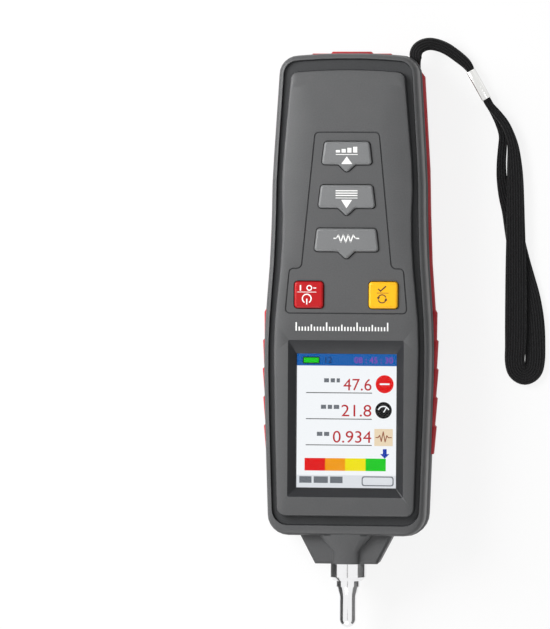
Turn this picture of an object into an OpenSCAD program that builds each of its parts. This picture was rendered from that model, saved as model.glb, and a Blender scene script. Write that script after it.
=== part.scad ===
// Handheld vibration meter: a moulded casing in two halves with a display, five keys,
// a probe at one end and a wrist strap at the other. It lies on its back, display up.
// X runs across, Y runs from the probe to the strap, Z runs up out of the display.

/* [Casing] */
// Length of the casing without its nose
case_len = 176.2; // [172:0.5:186]
// Greatest width of the casing
case_w = 60.9; // [60:0.5:66]
// Thickness from the back to the front panel
case_t = 30; // [30:0.5:34]
// Height of the joint between the halves, where the probe's axis lies
parting_z = 15; // [15:0.25:16]
// Wall thickness of both halves
wall = 2; // [1.8:0.1:2.2]
// Corner radius at the strap end
top_corner_r = 7; // [6.5:0.5:9]
// Corner radius at the probe end
end_corner_r = 7.7; // [7:0.5:9]
// How far the middle of the strap end bulges
crown = 0.8; // [0.2:0.1:1.5]

/* [Front panel] */
// Greatest width of the raised panel
panel_w = 52.6; // [51:0.2:54]
// Drop from the panel to the rim
rim_drop = 1.9; // [1:0.1:2.2]
// Depth of the channel between the rim and the panel
channel_depth = 1.5; // [0.8:0.1:1.8]
// Distance from the strap end of the casing to the panel
panel_from_top = 6.4; // [6:0.2:9]
// Distance from the probe end of the casing to the panel
panel_from_end = 7.4; // [7:0.2:9]

/* [Display] */
// Width of the lit screen
screen_w = 36.7; // [34:0.1:38]
// Length of the lit screen
screen_len = 49; // [44:0.1:51]
// Distance from the probe end of the casing to the middle of the screen
screen_from_end = 42; // [41.5:0.2:43]
// Depth of the recess round the screen
recess_depth = 2.8; // [2:0.1:3.4]

/* [Keys] */
// Width of the measure key along its lower edge
measure_key_w = 23.7; // [20:0.1:26]
// Width of the middle key along its lower edge
middle_key_w = 21; // [18:0.1:23]
// Width of the upper key along its lower edge
upper_key_w = 18.5; // [16:0.1:21]
// Height of the three keys without their points
bar_key_h = 8.4; // [7.5:0.1:9.4]
// Distance from the probe end of the casing to the measure key's lower edge
measure_key_from_end = 103.8; // [103:0.1:105]
// Distance from one of the three keys to the next
key_pitch = 15.8; // [15:0.1:16.5]
// Width of the two square keys
square_key_w = 10.6; // [9:0.1:11.5]
// Height of the two square keys
square_key_h = 9.7; // [8:0.1:10.5]
// Distance from the middle of the casing to each square key
square_key_x = 13.6; // [13:0.1:14.2]
// Distance from the probe end of the casing to the square keys
square_key_from_end = 88; // [87.5:0.1:88.5]
// How far the keys stand proud of the panel
key_proud = 1; // [0.6:0.1:1.6]
// How far a key travels when it is pressed
key_travel = 0.8; // [0.4:0.05:1]
// Gap round each key
key_gap = 0.3; // [0.2:0.05:0.4]

/* [Nose and probe] */
// Length of the nose
nose_len = 10.4; // [9:0.2:14]
// Width of the nose where it leaves the casing
nose_root_w = 33.8; // [30:0.2:36]
// Width of the nose at its end
nose_end_w = 22.8; // [19:0.2:25]
// Thickness of the nose
nose_t = 17.2; // [17:0.2:20]
// Diameter of the collar
collar_d = 13.4; // [12:0.1:13.6]
// Length of the collar outside the nose
collar_len = 5; // [3:0.2:8]
// Diameter of the probe's pin
pin_d = 6.1; // [5:0.1:7]
// Length of the pin with its round end
pin_len = 11.4; // [8:0.2:30]
// Diameter of the thread between the probe and the collar
thread_d = 5; // [4:0.1:5.4]
// Length of the thread
thread_len = 8; // [6:0.2:9]

/* [Grip and strap] */
// How far the rubber stands out at the top of each grip rib
grip_high = 1.9; // [1.5:0.1:2.4]
// How far the rubber stands out at the foot of each grip rib
grip_low = 1.3; // [0.9:0.1:1.5]
// Length of one grip rib
rib_pitch = 10.5; // [8:0.25:12]
// How far the rubber stands out at the strap end
bumper_out = 1.3; // [1:0.1:2]
// Width of the strap's long loop
strap_w = 8; // [6:0.1:9]
// Thickness of the strap
strap_t = 1.8; // [1.4:0.1:1.8]

/* [Batteries] */
// Diameter of a battery
cell_d = 10.5; // [10:0.1:10.6]
// Length of a battery with its button
cell_len = 44.5; // [43:0.1:45]
// Thickness of the battery cover
cover_t = 2.4; // [2.2:0.1:2.5]

/* [Hidden] */
$fn = 48;

// One overrun for every cut, and the running and seating clearances
over = 1;
run_gap = 0.05;
seat_gap = 0.3;

// Steps round each moulded corner and along each side
corner_steps = 6;
side_steps = 16;

// Places along the casing, as shares of its length from the probe end, where its width is set.
// Above the kink the sides run straight to the strap end.
station_shares = [0, 0.338, 0.435, 0.571, 0.656, 0.741, 1];
kink = 5;
// Widths there, as shares of the greatest width
case_shares = [0.939, 1, 0.992, 0.938, 0.92, 0.913, 0.821];
panel_shares = [0.939, 1, 0.996, 0.913, 0.894, 0.913, 0.76];

// Places along the length, with zero halfway between the probe's tip and the rubber
chamfer_len = 1.4;
collar_gap = 0.2;
shoulder_d = 8.8;
shoulder_len = 2.2;
cone_len = 3.7;
collar_out = collar_gap + collar_len + chamfer_len;
tip_out = shoulder_len + cone_len + pin_len;
total_len = bumper_out + case_len + nose_len + collar_out + tip_out;
case_y1 = total_len / 2 - bumper_out;
case_y0 = case_y1 - case_len;
nose_y = case_y0 - nose_len;
collar_y = nose_y - collar_out;
tip_y = collar_y - tip_out;

// Heights of the front half
rim_z = case_t - rim_drop;
channel_z = rim_z - channel_depth;
rim_round = 1.5;
rim_round_h = 4;
crest_w = 0.4;
crest_top_w = 0.5;
crest_end_w = 2.3;
channel_slope = 0.4;
panel_edge_h = 0.8;
panel_edge_w = 1;
panel_top_fade = 4.5;
panel_corner_r = 3;
cavity_z = channel_z - wall;
roof_z = case_t - wall;
lip_h = 1.2;
lip_gap = 0.1;

// Stack under the display, from the window down to the board
ledge_t = 1.2;
window_t = 1.2;
foam_t = 0.8;
glass_t = 1;
backlight_t = 1.6;
board_t = 1.6;
window_z = case_t - recess_depth - ledge_t - window_t;
foam_z = window_z - foam_t;
glass_z = foam_z - glass_t;
board_top = glass_z - backlight_t;
board_z = board_top - board_t;

// Display
screen_y = case_y0 + screen_from_end;
recess_side = 2.8;
recess_top = 5;
recess_end = 3.2;
window_lap = 2;
frame_w = 3.6;
glass_side = 3;
glass_top = 6.9;
glass_end = 4.1;
driver_len = 2.4;
ribbon_w = 18;
ribbon_t = 0.3;
ribbon_len = 4.6;
socket_len = 3.4;
socket_h = 1.4;
socket_lap = 1;

// Keys
key_point_h = 3;
key_point_w = 6.2;
key_taper = 2.1;
key_corner_r = 1.2;
key_dome = 0.6;
flange_t = 1.2;
flange_w = 1;
flange_gap = 0.4;
contact_t = 0.1;
contact_r = 2.5;
pill_t = 0.6;
pill_r = 2.2;
plunger_r = 2.5;
skirt_r = 4.2;
skirt_wall = 0.7;
mat_t = 1.2;
mat_margin = 2;
press_gap = 0.05;
measure_y = case_y0 + measure_key_from_end;
square_y = case_y0 + square_key_from_end;
key_top = case_t + key_proud;
flange_top = roof_z - flange_gap;
flange_z = flange_top - flange_t;
pill_z = board_top + contact_t + key_travel + press_gap;
mat_top = board_top + mat_t;
bar_y = measure_y + bar_key_h / 2;

// Engraved line round the keys, by its margins from them
line_top_gap = 3.6;
line_foot_gap = 3;
line_end_gap = 2.1;
line_top_side = 3.7;
line_neck_side = 4.8;
line_wide_side = 2.1;
line_end_side = 3.6;
line_top = measure_y + 2 * key_pitch + bar_key_h + line_top_gap;
line_step = measure_y - key_point_h - line_foot_gap;
line_end = square_y - square_key_h / 2 - line_end_gap;
line_top_w = upper_key_w - key_taper + 2 * line_top_side;
line_neck_w = measure_key_w + 2 * line_neck_side;
line_wide_w = 2 * (square_key_x + square_key_w / 2 + line_wide_side);
line_end_w = 2 * (square_key_x + square_key_w / 2 + line_end_side);
line_w = 0.45;
line_depth = 0.35;
line_r = 1.8;

// Board
board_gap = 0.7;
board_from_end = 13.2;
board_from_top = 13.4;
board_step_gap = 2;
board_post_gap = 0.6;
board_y0 = case_y0 + board_from_end;
board_y1 = case_y1 - board_from_top;
board_wide = 2 * (half_width(case_shares, case_w, board_y0) - wall - board_gap);

// Screws and their posts
case_screw_r = 1.25;
case_head_r = 2.4;
case_head_h = 1.6;
case_post_r = 3.1;
case_web_t = 2;
case_screw_seat = 6;
case_screw_bite = 8;
board_screw_r = 0.95;
board_head_r = 1.9;
board_head_h = 1.2;
board_post_r = 2.4;
board_screw_bite = 5;
top_screw_in = 9.3;
top_screw_from_top = 8.6;
middle_screw_in = 7.2;
middle_screw_gap = 3.9;
end_screw_in = 8.3;
end_screw_from_end = 8.8;
top_screw_y = case_y1 - top_screw_from_top;
middle_screw_y = square_y + skirt_r + mat_margin + middle_screw_gap + board_step_gap;
end_screw_y = case_y0 + end_screw_from_end;
function side_x(y, in) = half_width(case_shares, case_w, y) - in;
case_screw_places = [[side_x(top_screw_y, top_screw_in), top_screw_y],
    [side_x(middle_screw_y, middle_screw_in), middle_screw_y],
    [side_x(end_screw_y, end_screw_in), end_screw_y]];
board_step_y = middle_screw_y - case_post_r - board_step_gap - seat_gap * 2;
board_narrow = 2 * (case_screw_places[1][0] - case_post_r - board_post_gap);
board_screw_in = 2.2;
board_screw_top_in = 3.2;
board_screw_low = 7;
board_screw_gap = 2.6;
board_screw_high = 8;
board_screw_places = [[board_wide / 2 - board_screw_in, board_y0 + board_screw_low],
    [board_wide / 2 - board_screw_in, screen_y + screen_len / 2 + glass_top + board_screw_gap],
    [board_narrow / 2 - board_screw_top_in, board_y1 - board_screw_high]];

// Rear half
back_run = 4.2;
back_h = 6;
bulge_w = 0.6;
bulge_edge_h = 1.4;
bulge_z0 = 8;
bulge_z1 = parting_z - bulge_edge_h;
grip_in = 1;
grip_z0 = 3.5;
grip_z1 = 12.8;
grip_edge = 1.2;
grip_from_end = 29.6;
grip_y0 = case_y0 + grip_from_end;
rib_count = 5;
rib_step = 0.6;
bumper_half = 7.1;
bumper_step_half = 14.4;
bumper_low = 0.6;
grip_corner_out = 0.2;
// How much of the rubber's full thickness it has at each level of its section
grip_shares = [0.35, 0.85, 1, 1, 0.5];

// Strap bar in the corner of the rear half
bar_in = 3.4;
bar_from_top = 3.9;
bar_r = 1.25;
bar_pin_y = case_y1 - bar_from_top;
bar_x = side_x(bar_pin_y, bar_in);
lug_r = 3.6;
lug_z0 = 5.4;
lug_z1 = 11;

// Battery bay, with three cells side by side
cell_gap = 0.3;
cell_pitch = cell_d + cell_gap;
cell_lift = 0.2;
bay_side_gap = 0.35;
bay_w = 3 * cell_pitch - cell_gap + 2 * bay_side_gap;
plate_t = 0.4;
spring_len = 4.7;
bay_len = 2 * plate_t + cell_len + spring_len + run_gap;
bay_from_top = 15.4;
bay_y1 = case_y1 - bay_from_top;
bay_y0 = bay_y1 - bay_len;
bay_wall = 1.6;
cell_z = cover_t + cell_lift + cell_d / 2;
bay_roof = cell_z + cell_d / 2 + cell_lift;
button_d = 5;
button_len = 1;
pivot_z = cover_t / 2;
pivot_gap = 1.2;
pivot_y = bay_y1 + pivot_gap;
pivot_r = 0.7;
pivot_len = 1.4;
cover_lap = 2;
cover_half = bay_w / 2 + cover_lap - seat_gap;
cover_snap_len = 3.3;
cover_y0 = bay_y0 - cover_snap_len;
flange_half = bay_w / 2 + cover_lap + pivot_len + seat_gap + over / 2;
flange_h = 4.5;
finger_w = 10;
finger_t = 0.8;
finger_h = 3.9;
nib_t = 0.45;
nib_h = 1;
grip_groove_w = 1;
grip_groove_pitch = 2.2;
grip_groove_depth = 0.5;
tab_w = 3;

// Sensor in the nose
neck_d = 10.4;
nose_wall = 1.2;
isolator_r = 7;
stop_r = 8.2;
stop_len = 2;
piezo_r = 5.5;
piezo_t = 1.2;
mass_r = 6;
mass_t = 2.4;
preload_r = 1.5;
preload_head_r = 2.6;
preload_head_h = 1.1;
preload_bite = 4;
can_wall = 0.5;
can_r = 7.6;
can_gap = 0.4;
o_ring_r = 3.4;
o_ring_d = 0.9;
stop_y = case_y0 + wall + collar_gap;
stack_y = stop_y + stop_len;
stack_len = 2 * piezo_t + mass_t + preload_head_h;

// Nose hood, as half-widths and heights above the joint between the halves
hood_half = 9.6;
hood_neck_half = 4.9;
hood_neck_len = 4.7;
hood_drop = 0.4;
hood_neck_h = 11.2;
hood_end_h = 10.6;
hood_round = 2.6;
nose_edge = 0.9;

// Strap routes on the table, chosen by hand, from where the strap leaves the casing
strap_lead_route = [[20.5, 102.7, 8.2], [19.5, 101, 8.2], [19.8, 99.4, 8.2], [21.3, 98.3, 8.2],
    [23, 98.5, 8.2], [24.2, 99.8, 8.2], [24.3, 101.3, 8.2], [23.5, 103.2, 8.1],
    [23.2, 105.3, 7.6], [24.1, 107.3, 6.8], [26, 108.6, 5.9], [28.4, 109.1, 5],
    [31.4, 108.6, 4.1], [34.3, 107.4, 3.3], [36.8, 105.8, 2.7], [39.2, 104, 2.2],
    [41.2, 102.3, 1.8], [42.5, 100.7, 1.6], [43.2, 99.4, 1.6]];
// The lead stands on edge round the bar and turns flat on its way to the crimp
strap_lead_w = [1.6, 1.6, 1.6, 1.6, 1.6, 1.6, 1.6, 4, 4.6, 4.7, 4.7, 4.6, 4.5, 4.4, 4.3, 4.2, 3.9, 3.4,
    2.8];
strap_lead_t = [4.2, 4.2, 4.2, 4.2, 4.2, 4.2, 4.2, 3.4, 2.8, 2.6, 2.6, 2.6, 2.4, 2.4, 2.2, 2.2, 2.2,
    2, 1.8];
crimp_route = [[43.2, 99.4, 1.6], [49.1, 88.9, 1.6]];
crimp_w = 3.5;
crimp_t = 3.2;
crimp_r = 0.6;
strap_loop_route = [[49.1, 88.9, 2.4], [50.4, 86.6, 2.4], [53.2, 83.4, 2.6], [56, 79.8, 2.8],
    [58, 75.4, 2.9], [59.1, 71, 2.9], [59.6, 65.2, 2.9], [59.9, 59.5, 2.9], [60.1, 52.5, 2.9],
    [60.2, 45, 2.9], [60.3, 36, 2.9], [60.4, 26, 2.9], [60.5, 14, 2.9], [60.5, 4, 2.9],
    [60.4, -2.4, 2.9], [60.2, -7.6, 2.7], [61.1, -11.3, 2.3], [63.9, -12.9, 1.9],
    [66.7, -11.3, 1.5], [67.6, -7.6, 1.15], [67.6, -2.4, 0.95], [67.2, 4, 0.95], [66.6, 10, 0.95],
    [65.4, 16.5, 0.95], [63.9, 22, 0.95], [62.1, 28.5, 0.95], [60.5, 35, 0.95], [59.3, 41, 0.95],
    [58, 47.5, 0.95], [56.2, 53.5, 0.95], [54.9, 59.7, 0.95], [54.7, 65.5, 0.95], [55, 70.5, 0.95],
    [55.2, 75.5, 0.95], [53.9, 80, 0.95], [52, 84, 0.9], [50.4, 86.6, 0.8], [49.1, 88.9, 0.8]];
// Width along the loop, as shares of the strap's width
strap_loop_shares = [0.36, 0.36, 0.39, 0.38, 0.37, 0.43, 0.6, 0.73, 0.79, 0.84, 0.9, 0.96, 1, 1, 0.96,
    0.88, 0.84, 0.83, 0.84, 0.88, 0.95, 1, 0.98, 0.95, 0.93, 0.9, 0.88, 0.83, 0.75, 0.63, 0.49,
    0.44, 0.42, 0.39, 0.39, 0.38, 0.36, 0.36];
crimped_t = 1.4;

// Width of the casing or its panel at a place along it, from the shares above
crown_shares = [0.75, 0.5, 0.25];
function spot(s) = max([for (j = [0:kink]) if (j == 0 || s >= station_shares[j]) j]);
function run(i) = station_shares[i + 1] - station_shares[i];
function slope(v, j) =
    j == 0 ? (v[1] - v[0]) / run(0) :
    j == kink ? (v[kink] - v[kink - 1]) / run(kink - 1) :
    (v[j + 1] - v[j - 1]) / (station_shares[j + 1] - station_shares[j - 1]);
function width_share(v, s) =
    let (i = spot(s), h = run(i), t = (s - station_shares[i]) / h)
    i == kink ? v[i] + (v[i + 1] - v[i]) * t :
    (2 * pow(t, 3) - 3 * pow(t, 2) + 1) * v[i] + (pow(t, 3) - 2 * pow(t, 2) + t) * h * slope(v, i)
    + (3 * pow(t, 2) - 2 * pow(t, 3)) * v[i + 1] + (pow(t, 3) - pow(t, 2)) * h * slope(v, i + 1);
function half_width(v, w, y) = w / 2 * width_share(v, (y - case_y0) / case_len);

// Outlines, anticlockwise from the probe end
function arc(x, y, r, a0, a1) =
    [for (k = [0:corner_steps]) let (a = a0 + (a1 - a0) * k / corner_steps)
        [x + r * cos(a), y + r * sin(a)]];
function mirrored(p) = concat(p, [for (i = [len(p) - 1:-1:0]) [-p[i][0], p[i][1]]]);
function right_side(v, w, d, y0, y1, r0, r1) =
    let (c0 = y0 + r0, c1 = y1 - crown - r1,
        x0 = half_width(v, w, c0) - d - r0, x1 = half_width(v, w, c1) - d - r1)
    concat(arc(x0, c0, r0, -90, 0),
        [for (k = [1:side_steps - 1]) let (y = c0 + (c1 - c0) * k / side_steps)
            [half_width(v, w, y) - d, y]],
        arc(x1, c1, r1, 0, 90),
        [for (t = crown_shares) [x1 * t, y1 - crown * t * t]]);
// The casing's outline drawn in by d, or by d_top and d_end at its ends
function case_line(d, d_top = undef, d_end = undef) =
    let (a = is_undef(d_top) ? d : d_top, b = is_undef(d_end) ? d : d_end)
    mirrored(right_side(case_shares, case_w, d, case_y0 + b, case_y1 - a,
        max(end_corner_r - d, over), max(top_corner_r - d, over)));
function panel_line(d, d_top = undef) =
    let (a = is_undef(d_top) ? d : d_top)
    mirrored(right_side(panel_shares, panel_w, d, case_y0 + panel_from_end + d,
        case_y1 - panel_from_top - a, max(panel_corner_r - d, over), max(panel_corner_r - d, over)));

// A polygon drawn in by d, and a polygon with rounded corners
function unit(a, b) = (b - a) / norm(b - a);
function left(u) = [-u[1], u[0]];
function inset(p, d) =
    let (n = len(p))
    [for (i = [0:n - 1])
        let (u = unit(p[(i + n - 1) % n], p[i]), v = unit(p[i], p[(i + 1) % n]))
        p[i] + d * (left(u) + left(v)) / (1 + left(u) * left(v))];
function rounded(p, r, d = 0) =
    let (q = inset(p, d), n = len(p))
    [for (i = [0:n - 1])
        let (u = unit(q[(i + n - 1) % n], q[i]), v = unit(q[i], q[(i + 1) % n]),
            turn = acos(min(1, u * v)), s = sign(u[0] * v[1] - u[1] * v[0]),
            c = s > 0 ? max(r - d, r / 4) : r + d, from = q[i] - u * c * tan(turn / 2))
        for (k = [0:corner_steps]) let (a = turn * k / corner_steps)
            from + s * c * left(u) * (1 - cos(a)) + c * u * sin(a)];
function box_line(w, y0, y1) = [[-w / 2, y0], [w / 2, y0], [w / 2, y1], [-w / 2, y1]];
function ring(p, z) = [for (q = p) [q[0], q[1], z]];

// A closed solid through rings of equally many points, each anticlockwise seen from the last,
// with its ends closed by a fan round their middles
function middle(p) = [for (v = p) 1 / len(p)] * p;
module loft(rings) {
    n = len(rings[0]);
    m = len(rings);
    polyhedron(
        points = concat([for (r = rings) each r], [middle(rings[0]), middle(rings[m - 1])]),
        faces = concat([for (i = [0:n - 1]) [m * n, i, (i + 1) % n]],
            [for (j = [0:m - 2]) for (i = [0:n - 1])
                let (a = j * n + i, b = j * n + (i + 1) % n)
                each [[a, a + n, b], [b, a + n, b + n]]],
            [for (i = [0:n - 1]) [m * n + 1, (m - 1) * n + (i + 1) % n, (m - 1) * n + i]]));
}
module slab(p, z0, z1) {
    translate([0, 0, z0]) linear_extrude(z1 - z0) polygon(p);
}
module box(x0, x1, y0, y1, z0, z1) {
    translate([x0, y0, z0]) cube([x1 - x0, y1 - y0, z1 - z0]);
}
module post(x, y, r, z0, z1) {
    translate([x, y, z0]) cylinder(r = r, h = z1 - z0);
}
module both_sides() {
    children();
    mirror([1, 0, 0]) children();
}
// A turned piece on the probe's axis, its profile in radius and distance from y
module turned(y, profile) {
    translate([0, y, parting_z]) rotate([-90, 0, 0]) rotate_extrude() polygon(profile);
}
function tube_line(r0, r1, h0, h1) = [[r0, h0], [r1, h0], [r1, h1], [r0, h1]];

// A flat band or round lead swept along a route, eight-sided, w wide and t thick at each point
function heading(p, i) = unit(p[max(i - 1, 0)], p[min(i + 1, len(p) - 1)]);
function across(t) = [t[1], -t[0], 0] / norm([t[0], t[1]]);
function band_ring(p, i, w, t) =
    let (a = heading(p, i), s = across(a), u = cross(s, a))
    [for (k = [0:7]) let (e = 22.5 + 45 * k)
        p[i] + s * w / 2 * cos(e) / cos(22.5) + u * t / 2 * sin(e) / cos(22.5)];
module band(p, w, t) {
    loft([for (i = [0:len(p) - 1]) band_ring(p, i, w[i], t[i])]);
}

// Front half
module rim_body() {
    steps = [0, 30, 60, 90];
    crest = rim_round + crest_w;
    loft(concat(
        [ring(case_line(0), parting_z)],
        [for (a = steps) ring(case_line(rim_round * (1 - cos(a))),
            rim_z - rim_round_h * (1 - sin(a)))],
        [ring(case_line(crest, rim_round + crest_top_w, rim_round + crest_end_w), rim_z)],
        [ring(case_line(crest + channel_slope, rim_round + crest_top_w + channel_slope,
            rim_round + crest_end_w + channel_slope), channel_z)],
        [ring(panel_line(-channel_slope), channel_z)],
        [ring(panel_line(0), case_t - panel_edge_h)],
        [ring(panel_line(panel_edge_w / 4, panel_top_fade / 3), case_t - panel_edge_h / 3)],
        [ring(panel_line(panel_edge_w, panel_top_fade), case_t)]));
}
nose_line = [[-nose_end_w / 2, nose_y], [nose_end_w / 2, nose_y],
    [nose_root_w / 2, case_y0], [nose_root_w / 2, case_y0 + wall],
    [-nose_root_w / 2, case_y0 + wall], [-nose_root_w / 2, case_y0]];
function hood_ring(y, half, top) =
    concat([[half, y, parting_z]],
        [for (a = [0:22.5:180])
            [half * sign(cos(a)) * pow(abs(cos(a)), 0.6), y,
                top - hood_round * (1 - pow(sin(a), 0.7))]],
        [[-half, y, parting_z]]);
module nose_hood() {
    loft([
        hood_ring(case_y0 + wall, hood_half, rim_z - hood_drop),
        hood_ring(case_y0, hood_half, rim_z - 2 * hood_drop),
        hood_ring(nose_y + hood_neck_len, hood_neck_half, parting_z + hood_neck_h),
        hood_ring(nose_y, hood_neck_half, parting_z + hood_end_h)]);
}
module nose_half(z_end) {
    out = sign(z_end - parting_z);
    rings = [ring(nose_line, parting_z), ring(nose_line, z_end - out * nose_edge),
        ring(inset(nose_line, nose_edge), z_end)];
    loft(out > 0 ? rings : [rings[2], rings[1], rings[0]]);
}
module recess_cut() {
    x = screen_w / 2;
    y0 = screen_y - screen_len / 2;
    y1 = screen_y + screen_len / 2;
    rise = recess_depth + over;
    k = rise / recess_depth;
    loft([
        ring(rounded(box_line(2 * x, y0, y1), seat_gap), case_t - recess_depth),
        ring(rounded(box_line(2 * (x + recess_side * k), y0 - recess_end * k,
            y1 + recess_top * k), 2 * seat_gap), case_t + over)]);
    slab(box_line(2 * x, y0, y1), case_t - recess_depth - ledge_t - over, case_t - recess_depth + run_gap);
}
function bar_line(w, y) = [[0, y - key_point_h], [key_point_w / 2, y], [w / 2, y],
    [(w - key_taper) / 2, y + bar_key_h], [-(w - key_taper) / 2, y + bar_key_h],
    [-w / 2, y], [-key_point_w / 2, y]];
function square_line(x) = [for (p = box_line(square_key_w, square_y - square_key_h / 2,
    square_y + square_key_h / 2)) p + [x, 0]];
key_lines = [bar_line(upper_key_w, measure_y + 2 * key_pitch),
    bar_line(middle_key_w, measure_y + key_pitch), bar_line(measure_key_w, measure_y),
    square_line(-square_key_x), square_line(square_key_x)];
key_centres = [[0, bar_y + 2 * key_pitch], [0, bar_y + key_pitch], [0, bar_y],
    [-square_key_x, square_y], [square_key_x, square_y]];
module line_cut() {
    p = [[line_end_w / 2, line_end], [line_wide_w / 2, line_step], [line_neck_w / 2, line_step],
        [line_top_w / 2, line_top]];
    q = concat(p, [for (i = [3:-1:0]) [-p[i][0], p[i][1]]]);
    difference() {
        slab(rounded(q, line_r), case_t - line_depth, case_t + over);
        slab(rounded(q, line_r, line_w), case_t - line_depth - over, case_t + 2 * over);
    }
}
module front_posts() {
    both_sides() {
        for (p = case_screw_places) post(p[0], p[1], case_post_r, parting_z, cavity_z + over);
        for (p = board_screw_places) post(p[0], p[1], board_post_r, board_top, cavity_z + over);
        post(board_screw_places[2][0], board_screw_places[2][1], board_post_r, board_top, roof_z + over);
        for (p = case_screw_places) post(p[0], p[1], board_post_r, cavity_z, channel_z);
    }
}
module front_pilots() {
    both_sides() {
        for (p = case_screw_places)
            post(p[0], p[1], case_screw_r + run_gap, parting_z - over, parting_z + case_screw_bite + over);
        for (p = board_screw_places)
            post(p[0], p[1], board_screw_r + run_gap, board_top - over, board_top + board_screw_bite);
    }
}
module window_frame() {
    slab(box_line(screen_w + 2 * frame_w, screen_y - screen_len / 2 - frame_w,
        screen_y + screen_len / 2 + frame_w), window_z + window_t, roof_z + over / 2);
}
module sensor_bores() {
    turned(nose_y - over, tube_line(0, neck_d / 2 + seat_gap, 0, nose_wall + 2 * over));
    turned(nose_y + nose_wall, tube_line(0, isolator_r, 0, nose_len - nose_wall + wall + over));
}
module front_shell() {
    color("#5a5b5c") difference() {
        union() {
            difference() {
                union() {
                    rim_body();
                    nose_half(parting_z + nose_t / 2);
                    nose_hood();
                }
                slab(case_line(wall), parting_z - over, cavity_z);
                slab(panel_line(wall), cavity_z - over, roof_z);
                slab(case_line(wall / 2), parting_z - over, parting_z + lip_h + lip_gap);
            }
            intersection() {
                front_posts();
                slab(case_line(wall / 2 + lip_gap), parting_z, case_t);
            }
            window_frame();
        }
        recess_cut();
        line_cut();
        for (p = key_lines) slab(rounded(p, key_corner_r, -key_gap), roof_z - over, case_t + over);
        front_pilots();
        sensor_bores();
        slab(box_line(case_w, nose_y - over, case_y0 + wall + over), -over, parting_z);
    }
}

// Rear half
module rear_body() {
    loft(concat(
        [for (a = [0:22.5:90]) ring(case_line(back_run * (1 - sin(a)) - bulge_w * sin(a)),
            back_h * (1 - cos(a)))],
        [ring(case_line(-bulge_w), bulge_z0), ring(case_line(-bulge_w), bulge_z1),
            ring(case_line(0), parting_z)]));
}
module rear_posts() {
    both_sides() for (p = case_screw_places) post(p[0], p[1], case_post_r, 0, parting_z);
    post(bar_x, bar_pin_y, lug_r + wall, 0, parting_z);
}
module rear_screw_holes() {
    both_sides() for (p = case_screw_places) {
        post(p[0], p[1], case_head_r + seat_gap, -over, case_screw_seat);
        post(p[0], p[1], case_screw_r + seat_gap, 0, parting_z + over);
    }
}
module bay_block() {
    box(-flange_half, flange_half, cover_y0 - wall, pivot_y + cover_lap + over, 0, flange_h);
    box(-bay_w / 2 - bay_wall, bay_w / 2 + bay_wall, bay_y0 - bay_wall, bay_y1 + bay_wall,
        0, bay_roof + bay_wall);
}
module bay_cuts() {
    box(-bay_w / 2, bay_w / 2, bay_y0, bay_y1, -over, bay_roof);
    box(-cover_half - seat_gap, cover_half + seat_gap, cover_y0 - seat_gap,
        pivot_y + pivot_z + seat_gap, -over, cover_t + lip_gap);
    box(-finger_w / 2 - seat_gap, finger_w / 2 + seat_gap, cover_y0 - seat_gap,
        bay_y0 - bay_wall, cover_t, cover_t + finger_h + seat_gap);
    translate([-cover_half - pivot_len - seat_gap, pivot_y, pivot_z]) rotate([0, 90, 0])
        cylinder(r = pivot_r + run_gap, h = 2 * (cover_half + pivot_len + seat_gap));
    for (s = [-1, 1])
        box(s * cell_pitch - tab_w / 2 - seat_gap, s * cell_pitch + tab_w / 2 + seat_gap,
            s > 0 ? bay_y1 - plate_t - seat_gap : bay_y0,
            s > 0 ? bay_y1 : bay_y0 + plate_t + seat_gap, bay_roof - over, bay_roof + 2 * bay_wall);
}
module grip_recess() {
    difference() {
        slab(case_line(-2 * over), grip_z0, grip_z1);
        slab(case_line(grip_in), grip_z0 - over, grip_z1 + over);
        box(-case_w, case_w, nose_y, grip_y0, 0, parting_z);
    }
}
module strap_notch() {
    difference() {
        post(bar_x, bar_pin_y, lug_r, lug_z0, lug_z1);
        post(bar_x, bar_pin_y, bar_r, lug_z0 - over, lug_z1 + over);
    }
    box(bar_x - bar_r, case_w / 2 + 2 * over, bar_pin_y + bar_r, case_y1 + 2 * over, lug_z0, lug_z1);
}
module rear_shell() {
    color("#3f4142") difference() {
        union() {
            difference() {
                union() {
                    rear_body();
                    nose_half(parting_z - nose_t / 2);
                }
                slab(case_line(wall + grip_in), wall, bulge_z1);
                slab(case_line(wall), bulge_z1 - over / 2, parting_z + over);
            }
            intersection() {
                union() {
                    rear_posts();
                    bay_block();
                }
                rear_body();
            }
            difference() {
                slab(case_line(wall / 2 + lip_gap), bulge_z1, parting_z + lip_h);
                slab(case_line(wall), bulge_z1 - over, parting_z + lip_h + over);
                box(-nose_root_w / 2, nose_root_w / 2, nose_y, case_y0 + wall + over, parting_z - over / 2,
                    parting_z + 2 * lip_h);
            }
        }
        rear_screw_holes();
        bay_cuts();
        grip_recess();
        strap_notch();
        sensor_bores();
        turned(case_y0 + wall, tube_line(0, stop_r + seat_gap, 0, grip_in + over));
    }
}

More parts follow.
